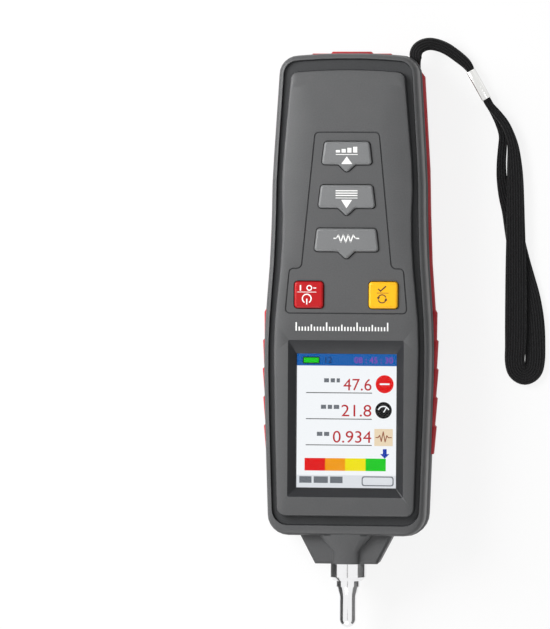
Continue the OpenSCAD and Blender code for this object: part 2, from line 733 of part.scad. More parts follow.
// Rubber round the sides and the strap end, with saw-toothed ribs near the display
function rib_out(y) =
    let (s = (y - grip_y0) / rib_pitch, f = s - floor(s))
    s < rib_count ? grip_low + (grip_high - grip_low) * f : grip_low;
rib_places = [for (k = [0:rib_count - 1]) each [grip_y0 + k * rib_pitch + run_gap,
    grip_y0 + (k + 1) * rib_pitch - rib_step]];
function grip_line(scale) =
    let (c1 = case_y1 - crown - top_corner_r, x1 = half_width(case_shares, case_w, c1) - top_corner_r,
        y_end = rib_places[2 * rib_count - 1] + 2 * rib_step, lead = 2 * rib_pitch,
        rise = [for (t = [0:0.2:1]) y_end + (c1 - y_end) * t],
        ys = concat([grip_y0 - lead], rib_places, rise))
    mirrored(concat(
        [for (y = ys) [half_width(case_shares, case_w, y) + scale * rib_out(y), y]],
        [for (p = arc(x1, c1, top_corner_r + scale * grip_corner_out, 15, 90)) p],
        [[bumper_step_half + bumper_low, case_y1 - crown / 2 + scale * grip_corner_out],
            [bumper_step_half, case_y1 + scale * bumper_low],
            [bumper_half + bumper_low, case_y1 + scale * bumper_low],
            [bumper_half, case_y1 + scale * bumper_out]]));
module grip_rubber() {
    zs = [grip_z0, grip_z0 + grip_edge, grip_z0 + 2 * grip_edge, grip_z1 - grip_edge, grip_z1];
    color("#b3262e") difference() {
        loft([for (i = [0:4]) ring(grip_line(grip_shares[i]), zs[i])]);
        slab(case_line(grip_in), grip_z0 - over, grip_z1 + over);
        box(-case_w, case_w, nose_y - case_len, grip_y0, 0, parting_z);
        post(bar_x, bar_pin_y, lug_r + seat_gap, lug_z0, lug_z1);
        box(bar_x - bar_r, case_w, bar_pin_y + bar_r, case_y1 + 2 * over, lug_z0, lug_z1);
    }
}

// Battery cover, which turns on two pins and snaps in at its lower end
module battery_cover() {
    color("#3f4142") {
        difference() {
            union() {
                box(-cover_half, cover_half, cover_y0, pivot_y, 0, cover_t);
                translate([-cover_half, pivot_y, pivot_z]) rotate([0, 90, 0])
                    cylinder(r = pivot_z, h = 2 * cover_half);
                translate([-cover_half - pivot_len, pivot_y, pivot_z]) rotate([0, 90, 0])
                    cylinder(r = pivot_r, h = 2 * (cover_half + pivot_len));
                box(-finger_w / 2, finger_w / 2, cover_y0 + nib_t, cover_y0 + nib_t + finger_t,
                    cover_t / 2, cover_t + finger_h);
                box(-finger_w / 2, finger_w / 2, cover_y0, cover_y0 + nib_t + finger_t / 2,
                    cover_t + finger_h - 2 * nib_h, cover_t + finger_h - nib_h);
            }
            for (k = [0:4])
                box(-finger_w, finger_w, cover_y0 + 2 * cover_t + k * grip_groove_pitch,
                    cover_y0 + 2 * cover_t + k * grip_groove_pitch + grip_groove_w,
                    -over, grip_groove_depth);
        }
    }
}

// Display, from the window down
module display_window() {
    w = screen_w + 2 * window_lap;
    len = screen_len + 2 * window_lap;
    color("#cfd8dc", 0.4) slab(rounded(box_line(w, screen_y - len / 2, screen_y + len / 2), over),
        window_z, window_z + window_t);
}
glass_y0 = screen_y - screen_len / 2 - glass_end;
glass_y1 = screen_y + screen_len / 2 + glass_top;
module display_foam() {
    color("#202020") difference() {
        slab(box_line(screen_w + 2 * window_lap, screen_y - screen_len / 2 - window_lap,
            screen_y + screen_len / 2 + window_lap), foam_z, window_z);
        slab(box_line(screen_w + over, screen_y - (screen_len + over) / 2,
            screen_y + (screen_len + over) / 2), foam_z - over, window_z + over);
    }
}
module display_glass() {
    color("#e8eef2") slab(box_line(screen_w + 2 * glass_side, glass_y0, glass_y1 - driver_len),
        glass_z, foam_z);
}
module display_backlight() {
    color("#d8d8d8") slab(box_line(screen_w + 2 * glass_side, glass_y0, glass_y1), board_top, glass_z);
}
module display_ribbon() {
    z = board_top + backlight_t / 2;
    color("#c87a2a") box(-ribbon_w / 2, ribbon_w / 2, glass_y1, glass_y1 + ribbon_len + socket_lap,
        z, z + ribbon_t);
}
module display_socket() {
    z = board_top + backlight_t / 2;
    y = glass_y1 + ribbon_len;
    color("#e6dcc8") difference() {
        box(-ribbon_w / 2 - socket_lap, ribbon_w / 2 + socket_lap, y, y + socket_len,
            board_top, board_top + socket_h);
        box(-ribbon_w / 2 - run_gap, ribbon_w / 2 + run_gap, y - over, y + socket_lap + run_gap,
            z - run_gap, z + ribbon_t + run_gap);
    }
}

// One key with its flange under the panel and its plunger down to the pill
module key(i, tint) {
    p = key_lines[i];
    c = key_centres[i];
    color(tint) {
        slab(rounded(p, key_corner_r), flange_z, key_top - key_dome);
        loft([
            ring(rounded(p, key_corner_r), key_top - key_dome),
            ring(rounded(p, key_corner_r, key_dome / 4), key_top - key_dome / 2),
            ring(rounded(p, key_corner_r, key_dome), key_top)]);
        slab(rounded(p, key_corner_r, -flange_w), flange_z, flange_top);
        post(c[0], c[1], plunger_r, pill_z + pill_t, flange_z + run_gap);
    }
}
module key_skirt(i) {
    c = key_centres[i];
    color("#9aa0a3") difference() {
        post(c[0], c[1], skirt_r, mat_top, flange_z);
        post(c[0], c[1], skirt_r - skirt_wall, mat_top - over, flange_z + over);
    }
}
module key_pill(i) {
    c = key_centres[i];
    color("#1b1b1b") post(c[0], c[1], pill_r, pill_z, pill_z + pill_t);
}
module keypad_mat() {
    y0 = square_y - skirt_r - mat_margin;
    y1 = square_y + skirt_r + mat_margin;
    color("#9aa0a3") difference() {
        union() {
            slab(box_line(2 * (square_key_x + skirt_r + mat_margin), y0, y1), board_top, mat_top);
            slab(box_line(2 * (skirt_r + 2 * mat_margin), y0,
                bar_y + 2 * key_pitch + skirt_r + mat_margin), board_top, mat_top);
        }
        for (c = key_centres) post(c[0], c[1], skirt_r - skirt_wall, board_top - over, mat_top + over);
    }
}
module key_contacts() {
    color("#c9a24a") for (c = key_centres) post(c[0], c[1], contact_r, board_top, board_top + contact_t);
}

// Board and what is soldered to it
module main_board() {
    color("#1f6b3a") difference() {
        union() {
            slab(box_line(board_wide, board_y0, board_step_y), board_z, board_top);
            slab(box_line(board_narrow, board_y0, board_y1), board_z, board_top);
        }
        both_sides() for (p = board_screw_places)
            post(p[0], p[1], board_screw_r + run_gap, board_z - over, board_top + over);
    }
}
chip_w = 10;
chip_t = 1.4;
chip_off = 6;
chip_y = screen_y + chip_off;
small_chip_w = 6;
crystal_w = 3.6;
crystal_h = 2.2;
cap_r = 2.4;
cap_h = 3;
cap_pitch = 7;
cap_x = 12;
lead_socket_w = 6;
lead_socket_len = 4;
lead_socket_h = 2.4;
lead_socket_gap = 6;
lead_socket_y = board_y0 + lead_socket_gap;
module processor_chip() {
    color("#222426") box(-chip_w / 2, chip_w / 2, chip_y - chip_w / 2, chip_y + chip_w / 2,
        board_z - chip_t, board_z);
}
module signal_chip() {
    y = chip_y - chip_w - small_chip_w;
    color("#222426") box(-small_chip_w / 2, small_chip_w / 2, y, y + small_chip_w,
        board_z - chip_t, board_z);
}
module board_capacitors() {
    color("#8a8f94") for (k = [0:2]) post(cap_x, chip_y - k * cap_pitch, cap_r, board_z - cap_h, board_z);
}
module clock_crystal() {
    x = chip_w / 2 + crystal_w;
    color("#c4c7ca") box(-x - crystal_w, -x, chip_y - crystal_w, chip_y + crystal_w,
        board_z - crystal_h, board_z);
}
module sensor_socket() {
    color("#e6dcc8") box(-lead_socket_w / 2, lead_socket_w / 2, lead_socket_y,
        lead_socket_y + lead_socket_len, board_z - lead_socket_h, board_z);
}
module board_screws() {
    color("#b8bcc0") both_sides() for (p = board_screw_places) {
        post(p[0], p[1], board_head_r, board_z - board_head_h, board_z);
        post(p[0], p[1], board_screw_r, board_z - board_head_h / 2, board_top + board_screw_bite - over);
    }
}
module case_screws() {
    color("#6f7478") both_sides() for (p = case_screw_places) difference() {
        union() {
            post(p[0], p[1], case_head_r, case_screw_seat - case_head_h, case_screw_seat);
            post(p[0], p[1], case_screw_r, case_screw_seat - case_head_h / 2,
                parting_z + case_screw_bite);
        }
        translate([p[0], p[1], case_screw_seat - case_head_h]) for (a = [0, 90]) rotate(a)
            cube([case_head_r, case_head_r / 4, case_head_h], center = true);
    }
}

// Batteries, each turned end for end from its neighbour, and their contacts
cell_y0 = bay_y0 + plate_t;
cell_y1 = bay_y1 - plate_t;
function cell_x(k) = (k - 2) * cell_pitch;
function cell_up(k) = k % 2 == 0;
module battery(k) {
    up = cell_up(k);
    y = up ? cell_y0 + run_gap : cell_y1 - run_gap;
    color("#2f6fa8") translate([cell_x(k), y, cell_z]) rotate([up ? -90 : 90, 0, 0]) {
        translate([0, 0, button_len]) cylinder(r = cell_d / 2, h = cell_len - button_len);
        cylinder(r = button_d / 2, h = cell_len / 2);
    }
}
spring_turns = 4;
spring_wire = 0.7;
spring_r0 = 3.6;
spring_r1 = 2.2;
spring_steps = 10;
spring_sides = 6;
spring_run = spring_len - spring_wire;
function spring_at(a) =
    let (f = a / (360 * spring_turns), r = spring_r0 + (spring_r1 - spring_r0) * f)
    [r * cos(a), r * sin(a), spring_wire / 2 + spring_run * f];
function spring_ring(a) =
    let (r = [cos(a), sin(a), 0], c = spring_at(a))
    [for (k = [0:spring_sides - 1]) let (e = 360 * k / spring_sides)
        c + spring_wire / 2 * (r * cos(e) + [0, 0, 1] * sin(e))];
module spring() {
    last = spring_turns * spring_steps;
    loft([for (k = [last:-1:0]) spring_ring(360 * k / spring_steps)]);
}
module battery_springs() {
    color("#c2c5c8") for (k = [1:3]) {
        up = cell_up(k);
        y = up ? cell_y1 : cell_y0;
        translate([cell_x(k), y, cell_z]) rotate([up ? 90 : -90, 0, 0]) spring();
    }
}
plate_low = 3;
plate_high = 12;
plate_w = 7.6;
module bay_plate(x0, x1, y) {
    box(x0 - plate_w / 2, x1 + plate_w / 2, y, y + plate_t, plate_low, plate_high);
}
module battery_plates() {
    color("#d0d3d6") {
        bay_plate(cell_x(1), cell_x(1), bay_y0);
        bay_plate(cell_x(2), cell_x(3), bay_y0);
        bay_plate(cell_x(1), cell_x(2), bay_y1 - plate_t);
        bay_plate(cell_x(3), cell_x(3), bay_y1 - plate_t);
        box(cell_x(1) - tab_w / 2, cell_x(1) + tab_w / 2, bay_y0, bay_y0 + plate_t, plate_low, board_z);
        box(cell_x(3) - tab_w / 2, cell_x(3) + tab_w / 2, bay_y1 - plate_t, bay_y1, plate_low, board_z);
    }
}

// Sensor: the collar carries the piezo rings and the mass, clamped by the preload screw
stop_h = stop_y - collar_y;
module sensor_collar() {
    r = collar_d / 2;
    neck_h = collar_out;
    color("#d5d8da") difference() {
        turned(collar_y, [[0, 0], [r - chamfer_len, 0], [r, chamfer_len], [r, neck_h - collar_gap],
            [neck_d / 2, neck_h - collar_gap], [neck_d / 2, stop_h], [stop_r, stop_h],
            [stop_r, stop_h + stop_len], [0, stop_h + stop_len]]);
        turned(collar_y, tube_line(0, thread_d / 2, -over, thread_len + seat_gap));
        turned(collar_y, tube_line(0, o_ring_r + o_ring_d / 2 + run_gap, -over, o_ring_d + run_gap));
        turned(stack_y - preload_bite, tube_line(0, preload_r + run_gap, 0, preload_bite + over));
    }
}
module sensor_isolator() {
    color("#2b2b2d") turned(nose_y + nose_wall + run_gap,
        tube_line(neck_d / 2 + run_gap, isolator_r - run_gap, 0, stop_y - nose_y - nose_wall - 2 * run_gap));
}
module piezo_rings() {
    color("#d9d2b8") for (k = [0:1])
        turned(stack_y + k * piezo_t, tube_line(preload_r + run_gap, piezo_r - k * run_gap, 0,
            piezo_t - (1 - k) * run_gap));
}
module seismic_mass() {
    color("#b98a3a") turned(stack_y + 2 * piezo_t, tube_line(preload_r + run_gap, mass_r, 0, mass_t));
}
module preload_screw() {
    color("#b8bcc0") turned(stack_y + stack_len - preload_head_h, [[0, -2 * piezo_t - mass_t - preload_bite + run_gap],
        [preload_r, -2 * piezo_t - mass_t - preload_bite + run_gap], [preload_r, 0],
        [preload_head_r, 0], [preload_head_r, preload_head_h], [0, preload_head_h]]);
}
can_len = stack_len + can_gap + can_wall;
module sensor_can() {
    color("#aeb3b7") turned(stack_y, [[can_r - can_wall, 0], [can_r, 0], [can_r, can_len],
        [0, can_len], [0, can_len - can_wall], [can_r - can_wall, can_len - can_wall]]);
}
lead_d = 1.6;
lead_shares = [[0, 0], [0.18, 0], [0.34, 0.15], [0.5, 0.5], [0.66, 0.85], [0.82, 1], [1, 1]];
lead_rise = board_z - lead_socket_h / 2 - parting_z;
lead_run = lead_socket_y - stack_y - can_len;
module sensor_lead() {
    y = stack_y + can_len;
    route = [for (s = lead_shares)
        [0, y + lead_run * s[0], parting_z + lead_rise * s[1]]];
    color("#303234") loft([for (i = [len(route) - 1:-1:0])
        let (t = heading(route, i), u = cross([1, 0, 0], t))
        [for (k = [0:7]) route[i] + lead_d / 2 * ([1, 0, 0] * cos(45 * k) + u * sin(45 * k))]]);
}
module probe_o_ring() {
    color("#1b1b1b") translate([0, collar_y + o_ring_d / 2, parting_z]) rotate([-90, 0, 0])
        rotate_extrude() translate([o_ring_r, 0]) circle(r = o_ring_d / 2, $fn = 24);
}
module probe_tip() {
    r = pin_d / 2;
    s = shoulder_d / 2;
    cone_y = shoulder_len + cone_len;
    color("#d5d8da") {
        translate([0, collar_y, parting_z]) rotate([90, 0, 0]) {
            rotate_extrude() polygon([[0, -thread_len], [thread_d / 2 - run_gap, -thread_len],
                [thread_d / 2 - run_gap, 0], [s, 0], [s, shoulder_len], [s - seat_gap, shoulder_len],
                [r, cone_y], [r, cone_y + pin_len - r], [0, cone_y + pin_len - r]]);
            translate([0, 0, cone_y + pin_len - r]) sphere(r = r);
        }
    }
}

// Wrist strap: the short run from the bar, the crimp and the long loop
module strap_lead() {
    color("#1c1c1e") band(strap_lead_route, strap_lead_w, strap_lead_t);
}
module strap_crimp() {
    a = crimp_route[0];
    b = crimp_route[1];
    long = norm(b - a);
    color("#d5d8da") translate(a) rotate(atan2(b[1] - a[1], b[0] - a[0]))
        rotate([90, 0, 90]) linear_extrude(long)
        polygon(rounded([[-crimp_w / 2, -crimp_t / 2], [crimp_w / 2, -crimp_t / 2],
            [crimp_w / 2, crimp_t / 2], [-crimp_w / 2, crimp_t / 2]], crimp_r));
}
module strap_loop() {
    n = len(strap_loop_route);
    w = [for (s = strap_loop_shares) strap_w * s];
    t = [for (i = [0:n - 1]) i < 2 || i > n - 4 ? crimped_t : strap_t];
    color("#1c1c1e") band(strap_loop_route, w, t);
}

front_shell();
rear_shell();
grip_rubber();
battery_cover();
display_window();
display_foam();
display_glass();
display_backlight();
display_ribbon();
display_socket();
key(0, "#7d8081");  // upper_key
key(1, "#7d8081");  // middle_key
key(2, "#7d8081");  // measure_key
key(3, "#e01f26");  // power_key
key(4, "#f5b324");  // enter_key
key_skirt(0);  // upper_key_skirt
key_skirt(1);  // middle_key_skirt
key_skirt(2);  // measure_key_skirt
key_skirt(3);  // power_key_skirt
key_skirt(4);  // enter_key_skirt
key_pill(0);  // upper_key_pill
key_pill(1);  // middle_key_pill
key_pill(2);  // measure_key_pill
key_pill(3);  // power_key_pill
key_pill(4);  // enter_key_pill
keypad_mat();
key_contacts();
main_board();
processor_chip();
signal_chip();
board_capacitors();
clock_crystal();
sensor_socket();
board_screws();
case_screws();
battery(1);  // battery_1
battery(2);  // battery_2
battery(3);  // battery_3
battery_springs();
battery_plates();
sensor_collar();
sensor_isolator();
piezo_rings();
seismic_mass();
preload_screw();
sensor_can();
sensor_lead();
probe_o_ring();
probe_tip();
strap_lead();
strap_crimp();
strap_loop();
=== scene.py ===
import math
import bmesh
import bpy
from mathutils import Matrix, Vector


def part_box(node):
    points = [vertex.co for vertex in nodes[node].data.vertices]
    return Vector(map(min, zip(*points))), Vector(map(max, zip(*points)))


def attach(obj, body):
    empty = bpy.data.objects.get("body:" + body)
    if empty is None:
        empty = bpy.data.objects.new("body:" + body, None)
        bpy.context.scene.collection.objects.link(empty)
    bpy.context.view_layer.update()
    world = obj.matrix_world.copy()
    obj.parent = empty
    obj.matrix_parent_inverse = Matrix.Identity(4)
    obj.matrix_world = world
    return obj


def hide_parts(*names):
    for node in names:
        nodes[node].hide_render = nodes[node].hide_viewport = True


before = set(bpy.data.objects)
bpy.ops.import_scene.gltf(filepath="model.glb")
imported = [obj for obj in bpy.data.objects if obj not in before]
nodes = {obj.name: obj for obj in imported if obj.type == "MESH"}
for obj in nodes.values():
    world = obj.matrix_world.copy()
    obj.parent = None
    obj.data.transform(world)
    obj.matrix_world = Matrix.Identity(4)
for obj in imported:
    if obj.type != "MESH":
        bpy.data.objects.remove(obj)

print("frame loaded")
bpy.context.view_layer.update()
mm = 0.001


# camera: nearly straight above, leaning a little to the strap's side
camera = {"lookAt": (-0.0262, 0.0091, 0.028), "distance": 1.5, "leanRight": 6.0, "leanUp": 0.6,
          "roll": 0.35, "fieldHeight": 0.2296, "sensor": 36, "near": 0.05, "far": 20}


def makeCamera(c):
    data = bpy.data.cameras.new("studioCamera")
    obj = bpy.data.objects.new("studioCamera", data)
    bpy.context.scene.collection.objects.link(obj)
    a, b = math.radians(c["leanRight"]), math.radians(c["leanUp"])
    back = Vector((math.sin(a) * math.cos(b), math.sin(b), math.cos(a) * math.cos(b))).normalized()
    side = Vector((0, 1, 0)).cross(back).normalized()
    up = back.cross(side)
    turn = Matrix((side, up, back)).transposed().to_4x4()
    place = Vector(c["lookAt"]) + back * c["distance"]
    obj.matrix_world = Matrix.Translation(place) @ turn @ Matrix.Rotation(math.radians(c["roll"]), 4, "Z")
    data.sensor_fit = "VERTICAL"
    data.sensor_height = c["sensor"]
    data.lens = c["sensor"] * c["distance"] / c["fieldHeight"]
    data.clip_start, data.clip_end = c["near"], c["far"]
    bpy.context.scene.camera = obj


makeCamera(camera)


# colours and nodes

def tone(code):
    # sRGB hex to linear
    parts = [int(code[i:i + 2], 16) / 255 for i in (1, 3, 5)]
    return tuple(v / 12.92 if v <= 0.04045 else ((v + 0.055) / 1.055) ** 2.4 for v in parts) + (1,)


def addNode(tree, kind, settings=None, links=None, **fields):
    node = tree.nodes.new(kind)
    for key, value in fields.items():
        setattr(node, key, value)
    for key, value in (settings or {}).items():
        node.inputs[key].default_value = value
    for key, source in (links or {}).items():
        tree.links.new(source, node.inputs[key])
    return node


def addMath(tree, operation, links, settings=None):
    return addNode(tree, "ShaderNodeMath", settings, links, operation=operation).outputs[0]


def addRange(tree, source, settings):
    return addNode(tree, "ShaderNodeMapRange", settings, {"Value": source}).outputs[0]


def addNoise(tree, place, sizeMm, detail):
    # a grain of that size
    settings = {"Scale": 1 / (sizeMm * mm), "Detail": detail}
    return addNode(tree, "ShaderNodeTexNoise", settings, {"Vector": place}).outputs["Fac"]


def addBlend(tree, share, first, second):
    # a colour mix has its factor at 0, its colours at 6 and 7 and its result at 2
    settings = {6: tone(first), 7: tone(second)}
    return addNode(tree, "ShaderNodeMix", settings, {0: share}, data_type="RGBA").outputs[2]


def addBump(tree, strength, depthMm, links):
    settings = {"Strength": strength, "Distance": depthMm * mm}
    return addNode(tree, "ShaderNodeBump", settings, links).outputs[0]


def objectPlace(tree):
    return addNode(tree, "ShaderNodeTexCoord").outputs["Object"]


def startMaterial(name):
    material = bpy.data.materials.new(name)
    material.use_nodes = True
    tree = material.node_tree
    tree.nodes.clear()
    return material, tree


def closeMaterial(tree, shader):
    addNode(tree, "ShaderNodeOutputMaterial", {}, {"Surface": shader.outputs[0]})


def closePrincipled(tree, settings, links):
    closeMaterial(tree, addNode(tree, "ShaderNodeBsdfPrincipled", settings, links))


moulded = {"cloudMm": 9, "cloudShare": 0.5, "shadeFrom": 0.45, "shadeTo": 1.05, "smoother": 0.05,
           "rougher": 0.07, "edgeSamples": 4, "bump": 0.6, "specular": 0.3}


def mouldedPlastic(name, colour, shade, roughness, grainMm, grainDepthMm, ior=1.54, edge=0.12):
    # plastic from a spark-eroded mould: an even fine grain, a faint cloudiness, softened edges
    material, tree = startMaterial(name)
    place = objectPlace(tree)
    cloud = addNoise(tree, place, moulded["cloudMm"], 3)
    grain = addNoise(tree, place, grainMm, 2)
    clouded = addMath(tree, "MULTIPLY", {0: cloud}, {1: moulded["cloudShare"]})
    amount = addMath(tree, "ADD", {0: grain, 1: clouded})
    span = addRange(tree, amount, {"From Min": moulded["shadeFrom"], "From Max": moulded["shadeTo"]})
    rough = addRange(tree, cloud, {"To Min": roughness - moulded["smoother"],
                                   "To Max": roughness + moulded["rougher"]})
    soft = addNode(tree, "ShaderNodeBevel", {"Radius": edge * mm}, samples=moulded["edgeSamples"])
    bump = addBump(tree, moulded["bump"], grainDepthMm, {"Height": grain, "Normal": soft.outputs[0]})
    closePrincipled(tree, {"IOR": ior, "Specular IOR Level": moulded["specular"]},
                    {"Base Color": addBlend(tree, span, colour, shade), "Roughness": rough, "Normal": bump})
    return material


plated = {"smoothShare": 0.7, "roughShare": 1.4, "bump": 0.15, "depthMm": 0.01}


def platedMetal(name, colour, roughness, scratchMm, stretch=(1, 1, 1)):
    # metal with fine marks from turning or polishing; a metal keeps the default IOR
    material, tree = startMaterial(name)
    turned = addNode(tree, "ShaderNodeMapping", {"Scale": stretch}, {"Vector": objectPlace(tree)})
    marks = addNoise(tree, turned.outputs[0], scratchMm, 4)
    rough = addRange(tree, marks, {"To Min": roughness * plated["smoothShare"],
                                   "To Max": roughness * plated["roughShare"]})
    bump = addBump(tree, plated["bump"], plated["depthMm"], {"Height": marks})
    closePrincipled(tree, {"Base Color": tone(colour), "Metallic": 1.0}, {"Roughness": rough, "Normal": bump})
    return material


ink = {"coverMm": 0.8, "roughness": 0.55, "smoother": 0.05, "rougher": 0.1, "ior": 1.5}


def printedInk(name, colour):
    # pad-printed ink: thin, slightly uneven cover
    material, tree = startMaterial(name)
    cover = addNoise(tree, objectPlace(tree), ink["coverMm"], 2)
    rough = addRange(tree, cover, {"To Min": ink["roughness"] - ink["smoother"],
                                   "To Max": ink["roughness"] + ink["rougher"]})
    closePrincipled(tree, {"Base Color": tone(colour), "IOR": ink["ior"]}, {"Roughness": rough})
    return material


lit = {"pixelMm": 0.5, "dim": 0.97, "bright": 1.02, "unlit": "#080808", "roughness": 0.5}


def litScreen(name, colour):
    # liquid-crystal picture lit from behind, over a fine grid of pixels
    material, tree = startMaterial(name)
    grid = addNoise(tree, objectPlace(tree), lit["pixelMm"], 1)
    glow = addRange(tree, grid, {"To Min": lit["dim"], "To Max": lit["bright"]})
    closePrincipled(tree, {"Base Color": tone(lit["unlit"]), "Roughness": lit["roughness"],
                           "Specular IOR Level": 0.0, "Emission Color": tone(colour)},
                    {"Emission Strength": glow})
    return material


acrylic = {"hazeMm": 4, "roughest": 0.03, "ior": 1.2}


def clearWindow():
    # polished acrylic, which shows the screen through it and a faint reflection
    material, tree = startMaterial("polishedAcrylic")
    haze = addNoise(tree, objectPlace(tree), acrylic["hazeMm"], 2)
    rough = addRange(tree, haze, {"To Min": 0.0, "To Max": acrylic["roughest"]})
    closePrincipled(tree, {"Base Color": tone("#ffffff"), "IOR": acrylic["ior"], "Transmission Weight": 1.0},
                    {"Roughness": rough})
    return material


tape = {"ribMm": 0.95, "pickMm": 0.6, "pickShare": 0.4, "lintMm": 0.4, "lintShare": 0.8, "low": -1.2,
        "high": 2.0, "dark": "#060607", "pale": "#242425", "bump": 0.9, "depthMm": 0.18}


def addWave(tree, distance, lengthMm):
    turns = addMath(tree, "MULTIPLY", {0: distance}, {1: 2 * math.pi / lengthMm})
    return addMath(tree, "SINE", {0: turns})


def wovenRibbon():
    # black polyester tape: lengthwise ribs and a finer cross weave, in millimetres of its own UV; the ribs
    # are a little coarser than the real ones so that they show
    material, tree = startMaterial("wovenPolyester")
    uv = addNode(tree, "ShaderNodeTexCoord").outputs["UV"]
    parts = addNode(tree, "ShaderNodeSeparateXYZ", {}, {"Vector": uv})
    ribs = addWave(tree, parts.outputs["X"], tape["ribMm"])
    picks = addWave(tree, parts.outputs["Y"], tape["pickMm"])
    weave = addMath(tree, "MULTIPLY_ADD", {0: picks, 2: ribs}, {1: tape["pickShare"]})
    lint = addNoise(tree, objectPlace(tree), tape["lintMm"], 3)
    height = addMath(tree, "MULTIPLY_ADD", {0: lint, 2: weave}, {1: tape["lintShare"]})
    # the colour follows the weave's height: hollows painted darker and ridges paler, as painted shade and
    # highlight on the weave, with random tone from the lint
    shade = addRange(tree, height, {"From Min": tape["low"], "From Max": tape["high"]})
    bump = addBump(tree, tape["bump"], tape["depthMm"], {"Height": height})
    closePrincipled(tree, {"Roughness": 0.85, "Sheen Weight": 0.08, "Sheen Roughness": 0.4,
                           "Specular IOR Level": 0.2},
                    {"Base Color": addBlend(tree, shade, tape["dark"], tape["pale"]), "Normal": bump})
    return material


# a plastic has its colour, shade, roughness, and the size and depth of its grain in millimetres; a metal
# its colour, roughness and the size of its marks
materials = {
    # front half: dark grey ABS, fine matt grain
    "frontAbs": mouldedPlastic("greyMouldedAbs", "#545455", "#4c4d4e", 0.46, 0.5, 0.03),
    # channel and engraved groove: the same ABS painted darker, as painted shade in these hollows
    "channelShadeAbs": mouldedPlastic("shadedChannelAbs", "#363739", "#2c2d2e", 0.5, 0.5, 0.03),
    # recess round the screen, walls and slanted edges of the key openings: painted black, as painted shade in
    # these hollows
    "recessShadeAbs": mouldedPlastic("shadedRecessAbs", "#202124", "#1a1b1e", 0.45, 0.5, 0.02),
    # back half: near-black ABS
    "rearAbs": mouldedPlastic("blackMouldedAbs", "#3a3b3d", "#303133", 0.5, 0.55, 0.04),
    # grip: soft thermoplastic rubber moulded over the back half
    "gripRubber": mouldedPlastic("redMouldedRubber", "#c01e2a", "#b01822", 0.6, 0.6, 0.04, ior=1.5,
                                 edge=0.25),
    "greyKey": mouldedPlastic("greyKeyAbs", "#78797a", "#717273", 0.42, 0.5, 0.015, edge=0.2),
    "redKey": mouldedPlastic("redKeyAbs", "#b4000a", "#ac0810", 0.4, 0.5, 0.015, edge=0.2),
    "yellowKey": mouldedPlastic("yellowKeyAbs", "#fcbc14", "#f8b20e", 0.4, 0.5, 0.015, edge=0.2),
    "silicone": mouldedPlastic("greySilicone", "#9aa0a3", "#90969a", 0.6, 0.6, 0.01, ior=1.41),
    "carbon": mouldedPlastic("carbonRubber", "#1d1d1e", "#161617", 0.8, 0.3, 0.02, ior=1.5),
    "blackRubber": mouldedPlastic("nitrileRubber", "#202021", "#18181a", 0.55, 0.4, 0.01, ior=1.5),
    "foam": mouldedPlastic("closedCellFoam", "#222223", "#141415", 0.9, 0.35, 0.08, ior=1.4),
    "solderMask": mouldedPlastic("greenSolderMask", "#1f6b3a", "#185a30", 0.3, 2.2, 0.01, ior=1.5),
    "epoxy": mouldedPlastic("blackEpoxy", "#232426", "#1c1d1f", 0.55, 0.3, 0.01, ior=1.55),
    "nylon": mouldedPlastic("creamNylon", "#e6dcc8", "#dccfb8", 0.45, 0.8, 0.01, ior=1.53),
    "polyimide": mouldedPlastic("amberPolyimide", "#b9722a", "#a8631f", 0.35, 1.0, 0.005, ior=1.7),
    "diffuser": mouldedPlastic("whiteDiffuser", "#ecebe6", "#e2e1dc", 0.5, 1.5, 0.005, ior=1.49),
    "ceramic": mouldedPlastic("leadCeramic", "#d9d2b8", "#cdc5a8", 0.6, 0.3, 0.01, ior=1.7),
    "cellFilm": mouldedPlastic("printedCellFilm", "#23598f", "#1d4c7c", 0.3, 3.0, 0.003, ior=1.5),
    # collar, probe and crimp: polished plate, bright and clean
    "chrome": platedMetal("polishedChrome", "#f1f1f2", 0.12, 0.6, stretch=(1, 6, 1)),
    "crimpMetal": platedMetal("nickelledBrass", "#e2e2e0", 0.22, 0.8),
    "steel": platedMetal("zincPlatedSteel", "#b4b7ba", 0.32, 0.5),
    "springSteel": platedMetal("nickelledSpringSteel", "#c6c8ca", 0.25, 0.4),
    "gold": platedMetal("goldPlate", "#d8b160", 0.25, 0.4),
    "brass": platedMetal("turnedBrass", "#c29a4b", 0.3, 0.3, stretch=(1, 8, 1)),
    "canMetal": platedMetal("drawnSteel", "#a9adb1", 0.35, 0.5),
    "ribbon": wovenRibbon(),
    "window": clearWindow(),
    "whiteInk": printedInk("whiteInk", "#f2f2f0"),
    "darkInk": printedInk("brownInk", "#4a2a12"),
    "lcdBack": litScreen("litWhite", "#f4f7fa"),
    "lcdFoot": litScreen("litPaleGrey", "#dde1e6"),
    "lcdBlue": litScreen("litBlue", "#0c5aa8"),
    "lcdArrow": litScreen("litDeepBlue", "#1038a8"),
    "lcdRed": litScreen("litRed", "#e00a0c"),
    "lcdDigit": litScreen("litDarkRed", "#b8101e"),
    "lcdGreen": litScreen("litGreen", "#14c81e"),
    "lcdOrange": litScreen("litOrange", "#f09a08"),
    "lcdYellow": litScreen("litYellow", "#f0e208"),
    "lcdPurple": litScreen("litPurple", "#8a3fb0"),
    "lcdBeige": litScreen("litBeige", "#ead7b8"),
    "lcdBrown": litScreen("litBrown", "#8a3c1c"),
    "lcdBlack": litScreen("litBlack", "#101113"),
    "lcdGrey": litScreen("litGrey", "#6c7178"),
}
print("materials made")


# shared mesh helpers

def linkedObject(bm, name, finishes):
    mesh = bpy.data.meshes.new(name)
    bm.to_mesh(mesh)
    bm.free()
    obj = bpy.data.objects.new(name, mesh)
    bpy.context.scene.collection.objects.link(obj)
    for finish in finishes:
        mesh.materials.append(finish)
    return obj


def finishShading(bm, smooth, angle):
    # an edge with a wider angle than that stays sharp
    for face in bm.faces:
        face.smooth = smooth
    for edge in bm.edges:
        edge.smooth = len(edge.link_faces) == 2 and edge.calc_face_angle(0) < math.radians(angle)


